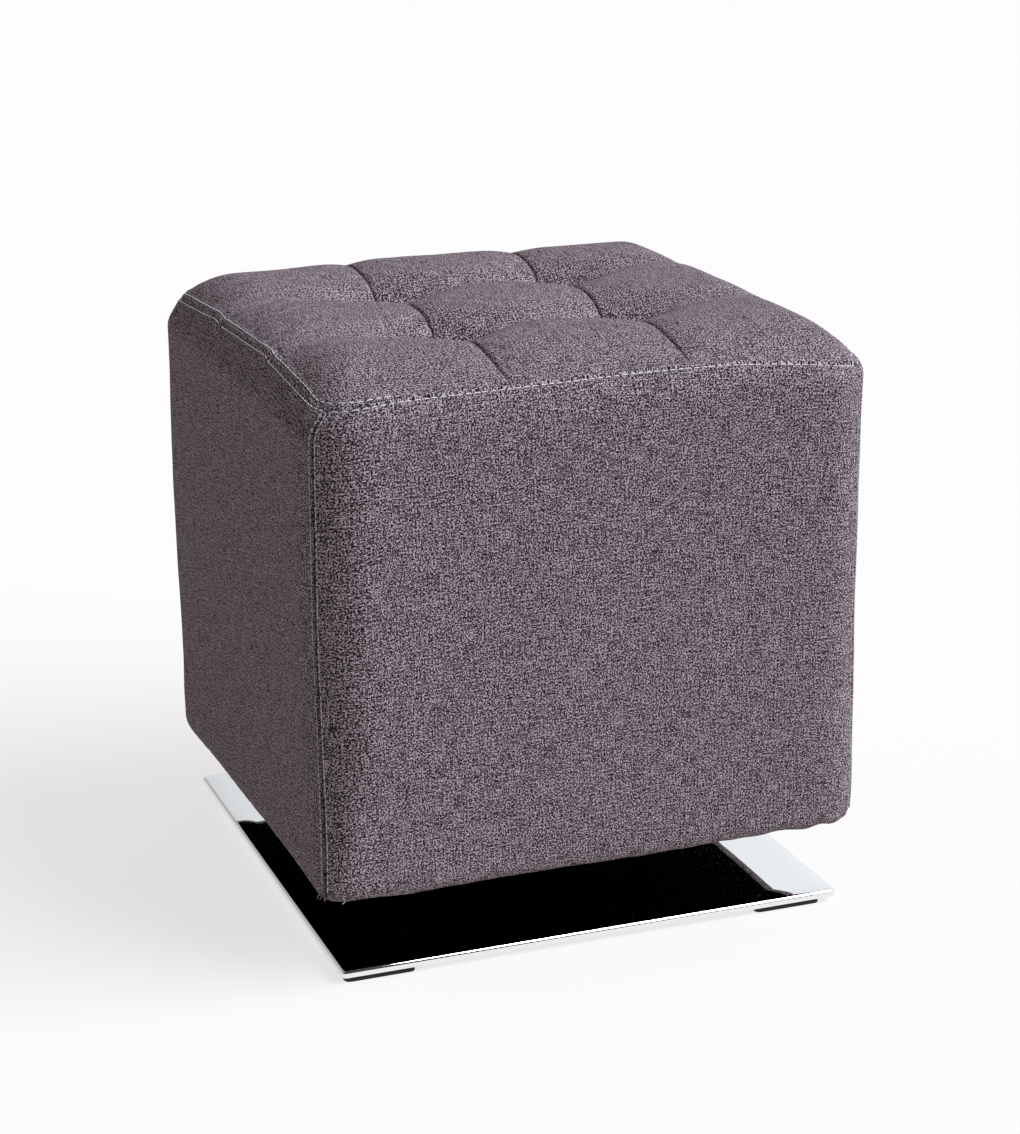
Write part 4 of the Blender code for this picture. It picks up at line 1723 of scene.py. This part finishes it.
@dataclass
class BasePlate:
    """The mirror-finished plate, with a softly rounded edge."""

    chrome: bpy.types.Material
    half: float = 0.1885
    low_z: float = 0.0042
    high_z: float = 0.0105
    corner_radius: float = 0.004
    edge_radius: float = 0.0026
    under_radius: float = 0.0010
    dome_width: float = 0.0120
    dome_drop: float = 0.0005
    corner_easing: float = 0.7
    corner_steps: int = 10
    under_steps: int = 3
    edge_steps: int = 12
    dome_steps: int = 8

    def levels(self) -> list[tuple[float, float]]:
        """Section of the rim from the underside up and inwards.

        Returns:
            Inset and height of each level.
        """
        under, edge = self.under_radius, self.edge_radius
        turns = [QUARTER_TURN * i / self.under_steps for i in range(self.under_steps + 1)]
        levels = [(under * (1 - math.sin(t)), self.low_z + under * (1 - math.cos(t))) for t in turns]
        roll_z = self.high_z - self.dome_drop
        turns = [QUARTER_TURN * i / self.edge_steps for i in range(self.edge_steps)]
        levels += [(edge * (1 - math.cos(t)), roll_z - edge * (1 - math.sin(t))) for t in turns]
        shares = [i / self.dome_steps for i in range(self.dome_steps + 1)]
        dome = [(edge + self.dome_width * t, self.high_z - self.dome_drop * (1 - t) ** 2) for t in shares]
        return levels + dome

    def build(self) -> bpy.types.Object:
        """Make a square plate whose upper edge is rolled over and whose lower edge is just broken.

        Returns:
            The finished piece, riding on the base.
        """
        levels = self.levels()
        points: list[Point] = []
        for inset, z in levels:
            inward = inset / (self.edge_radius + self.dome_width)
            radius = self.corner_radius * (1 - self.corner_easing * inward)
            centre = self.half - inset - radius
            for quarter in range(4):
                sign_x = 1.0 if quarter in (0, 3) else -1.0
                sign_y = 1.0 if quarter in (0, 1) else -1.0
                for step in range(self.corner_steps + 1):
                    turn = QUARTER_TURN * (quarter + step / self.corner_steps)
                    points.append((sign_x * centre + radius * math.cos(turn),
                                   sign_y * centre + radius * math.sin(turn), z))
        faces = tube_faces(0, len(levels), 4 * (self.corner_steps + 1))
        piece = make_piece("polished_plate", points, faces, self.chrome, smooth_degrees=35.0)
        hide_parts("base_plate")
        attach(piece, BASE)
        return piece


@dataclass
class Underside:
    """The board under the cube, with a near-black sheet that runs out from it under the turned-in hem.

    The board's near-black is partly the dark cloth under the cube and partly painted shade; the sheet
    under the hem is painted shade, and reaches to within a few millimetres of the hem's edge, where the
    plate mirrors black.
    """

    shape: CoverShape
    sides: SideCover
    black: bpy.types.Material
    board_top_z: float = 0.0790
    board_low_z: float = 0.0725
    fold: int = 7
    clearance: float = 0.0003
    thickness: float = 0.0004
    board_bevel: float = 0.0030
    board_edge_drop: float = 0.0012

    def profile(self, low: float, hem_z: float) -> list[tuple[float, float]]:
        """Section from the middle of the underside, out under the hem and back to the board's top.

        Args:
            low: half-width of the face at the hem.
            hem_z: height of the hem's lowest line.

        Returns:
            (half-width, height) of each point.
        """
        under = [(low - inset, hem_z + lift - self.clearance)
                 for inset, lift in reversed(self.shape.hem_section[self.fold:])]
        board = self.shape.wall_inner - self.shape.gap
        lower = [(half, z - self.thickness) for half, z in under]
        inner_z = self.shape.hem_inner_z
        section = [(board - self.board_bevel, self.board_low_z), (board, inner_z - self.board_edge_drop)]
        section += lower + list(reversed(under))
        return section + [(board, inner_z - self.clearance), (board, self.board_top_z)]

    def build(self) -> bpy.types.Object:
        """Make the board and the painted-shade sheet under the hem as one closed piece.

        Returns:
            The finished piece, riding on the seat.
        """
        shape = self.shape
        points: list[Point] = []
        columns = [(side, along, share) for side in Side for along, share in self.sides.columns()[1:]]
        for side, along, share in columns:
            place = shape.place_beyond(along, share)
            hem_z = shape.hem_height(side, place)
            angle = shape.corner_angle(side, along, 1.0)
            for half, z in self.profile(shape.face_half(place, hem_z), hem_z):
                cut = shape.corner_cut(side, along, hem_z) if half > shape.wall_inner else 0.0
                points.append(side.place(*shape.outline(along, share, angle, half, cut), z))
        ring = len(points) // len(columns)
        count = len(columns)
        faces: list[tuple[int, ...]] = []
        for column in range(count):
            low, after = column * ring, (column + 1) % count * ring
            faces += [(low + s, low + s + 1, after + s + 1, after + s) for s in range(ring - 1)]
        faces.append(tuple(c * ring for c in range(count)))
        faces.append(tuple(c * ring + ring - 1 for c in range(count)))
        # the board and the sheet under the hem are near-black: painted shade under the cube and the hem
        piece = make_piece("underside_lining", points, faces, self.black, smooth_degrees=30.0)
        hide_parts("underside_board")
        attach(piece, SEAT)
        return piece


@dataclass
class HiddenFittings:
    """The swivel and the floor pads: the solids, given their finishes."""

    black_paint: bpy.types.Material
    pad: bpy.types.Material

    def dress(self) -> int:
        """Put the finishes on the solids.

        Returns:
            How many solids were dressed.
        """
        # the swivel's black paint is darkened almost to nothing, as painted shade under the cube
        finishes = {"swivel_column": self.black_paint, "swivel_turnplate": self.black_paint}
        finishes |= {node: self.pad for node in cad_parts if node.startswith("floor_pad_")}
        for node, finish in finishes.items():
            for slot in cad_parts[node].material_slots:
                slot.material = finish
        return len(finishes)


# ---------------------------------------------------------------- the studio


@dataclass(frozen=True)
class Wall:
    """A bright patch of the surroundings: its direction, how narrow it is, and its shade."""

    towards: Point
    focus: float
    shade: Shade


@dataclass
class Studio:
    """Pale floor, soft light and the camera."""

    camera_place: Point = (-0.660, -1.741, 0.816)
    azimuth: float = -20.93
    elevation: float = 17.71
    focal_pixels: float = 2629.0
    frame_height: float = 1134.0
    sensor: float = 36.0
    floor_half: float = 30.0
    floor_shade: Shade = (0.150, 0.148, 0.140)
    floor_glow: float = 0.71
    floor_tint: Shade = (1.02, 1.0, 1.0)
    floor_roughness: float = 0.9
    sun_from: Point = (0.623, -0.405, 0.669)
    sun_strength: float = 7.1
    sun_spread: float = math.radians(50.0)
    sun_tint: Shade = (0.97, 1.0, 1.11)
    dim_shade: Shade = (0.070, 0.055, 0.050)
    walls: tuple[Wall, ...] = (
        Wall((0.611, 0.729, 0.309), 3.0, (0.92, 0.97, 0.99)),
        Wall((-0.850, 0.450, 0.274), 3.0, (0.62, 0.57, 0.56)))

    def floor(self) -> bpy.types.Object:
        """Make a large pale floor, lit from within like a light table.

        Returns:
            The floor, which is not part of the stool.
        """
        n = Nodes("pale_floor")
        n.shader.inputs["Base Color"].default_value = (*self.floor_shade, 1.0)
        n.shader.inputs["Emission Color"].default_value = (*self.floor_tint, 1.0)
        n.shader.inputs["Emission Strength"].default_value = self.floor_glow
        n.shader.inputs["Roughness"].default_value = self.floor_roughness
        n.shader.inputs["Specular IOR Level"].default_value = 0.0
        h = self.floor_half
        corners = [(-h, -h, 0.0), (h, -h, 0.0), (h, h, 0.0), (-h, h, 0.0)]
        piece = make_piece("studio_floor", corners, [(0, 1, 2, 3)], n.material)
        return piece

    def sun(self) -> None:
        """One broad soft light from the front right and above."""
        data = bpy.data.lights.new("soft_key", "SUN")
        data.energy = self.sun_strength
        data.angle = self.sun_spread
        data.color = self.sun_tint
        lamp = bpy.data.objects.new("soft_key", data)
        bpy.context.scene.collection.objects.link(lamp)
        lamp.rotation_euler = Vector(self.sun_from).to_track_quat("Z", "Y").to_euler()

    def sky(self) -> None:
        """Soft surroundings: a dim room with a bright wall at the back right and the back left."""
        world = bpy.data.worlds.new("studio_surroundings")
        bpy.context.scene.world = world
        world.use_nodes = True
        tree = world.node_tree
        where = tree.nodes.new("ShaderNodeTexCoord").outputs["Generated"]
        shade = tree.nodes.new("ShaderNodeCombineXYZ")
        for part, socket in zip(self.dim_shade, shade.inputs):
            socket.default_value = part
        result = shade.outputs[0]
        for wall in self.walls:
            facing = tree.nodes.new("ShaderNodeVectorMath")
            facing.operation = "DOT_PRODUCT"
            facing.inputs[1].default_value = wall.towards
            front = tree.nodes.new("ShaderNodeMath")
            front.operation = "MAXIMUM"
            front.inputs[1].default_value = 0.0
            spread = tree.nodes.new("ShaderNodeMath")
            spread.operation = "POWER"
            spread.inputs[1].default_value = wall.focus
            add = tree.nodes.new("ShaderNodeVectorMath")
            add.operation = "MULTIPLY_ADD"
            add.inputs[1].default_value = wall.shade
            tree.links.new(where, facing.inputs[0])
            tree.links.new(facing.outputs["Value"], front.inputs[0])
            tree.links.new(front.outputs[0], spread.inputs[0])
            tree.links.new(spread.outputs[0], add.inputs[0])
            tree.links.new(result, add.inputs[2])
            result = add.outputs[0]
        tree.links.new(result, tree.nodes["Background"].inputs["Color"])

    def camera(self) -> None:
        """The camera at the photograph's viewing angle."""
        az, el = math.radians(self.azimuth), math.radians(self.elevation)
        back = Vector((math.sin(az) * math.cos(el), -math.cos(az) * math.cos(el), math.sin(el)))
        right = (-back).cross(Vector((0, 0, 1))).normalized()
        up = back.cross(right)
        data = bpy.data.cameras.new("camera")
        data.sensor_width = self.sensor
        data.lens = self.sensor * self.focal_pixels / self.frame_height
        item = bpy.data.objects.new("camera", data)
        bpy.context.scene.collection.objects.link(item)
        place = Vector(self.camera_place)
        item.matrix_world = Matrix(((right.x, up.x, back.x, place.x), (right.y, up.y, back.y, place.y),
                                    (right.z, up.z, back.z, place.z), (0, 0, 0, 1)))
        bpy.context.scene.camera = item

    def build(self) -> None:
        """Set the stage."""
        self.floor()
        self.sky()
        self.sun()
        self.camera()
        bpy.context.scene.view_settings.view_transform = "Standard"


def main() -> None:
    """Build the stool's looks piece by piece."""
    logging.basicConfig(level=logging.INFO, format="%(name)s: %(message)s")
    shape = CoverShape()
    cloth = WovenCloth().material()
    threads = {thread: SewingThread(f"{thread.name.lower()}_thread", thread.value).material()
               for thread in Thread}
    top = TopCover(shape, cloth)
    for strip in Strip:
        log.info("made %s", top.build(strip).name)
    sides = SideCover(shape, cloth)
    for side in Side:
        log.info("made %s", sides.build(side).name)
    for row in Sewing(shape, threads).build():
        log.info("sewed %s", row.name)
    log.info("made %s", LooseThreads(shape, sides, threads[Thread.PALE]).build().name)
    log.info("made %s", BasePlate(MirrorChrome().material()).build().name)
    # near-black: partly the dark cloth under the cube, partly painted shade under the cube and the hem
    underside_dark_and_shade = DarkFinish("black_lining", shade=(0.0012, 0.0011, 0.0011), roughness=0.90, grain=900.0,
                        relief=0.0002, shine=0.0)
    log.info("made %s", Underside(shape, sides, underside_dark_and_shade.material()).build().name)
    # black paint of the swivel, darkened almost to nothing as painted shade under the cube
    paint_and_shade = DarkFinish("black_paint", shade=(0.0004, 0.0004, 0.0004), roughness=0.80, grain=240.0,
                       relief=0.0001, shine=0.0)
    rubber = DarkFinish("pad_rubber", shade=(0.016, 0.013, 0.014), roughness=0.75, grain=420.0,
                        relief=0.0003, shine=0.30)
    fittings = HiddenFittings(paint_and_shade.material(), rubber.material())
    log.info("dressed %d fittings", fittings.dress())
    Studio().build()


if __name__ == "__main__":
    main()
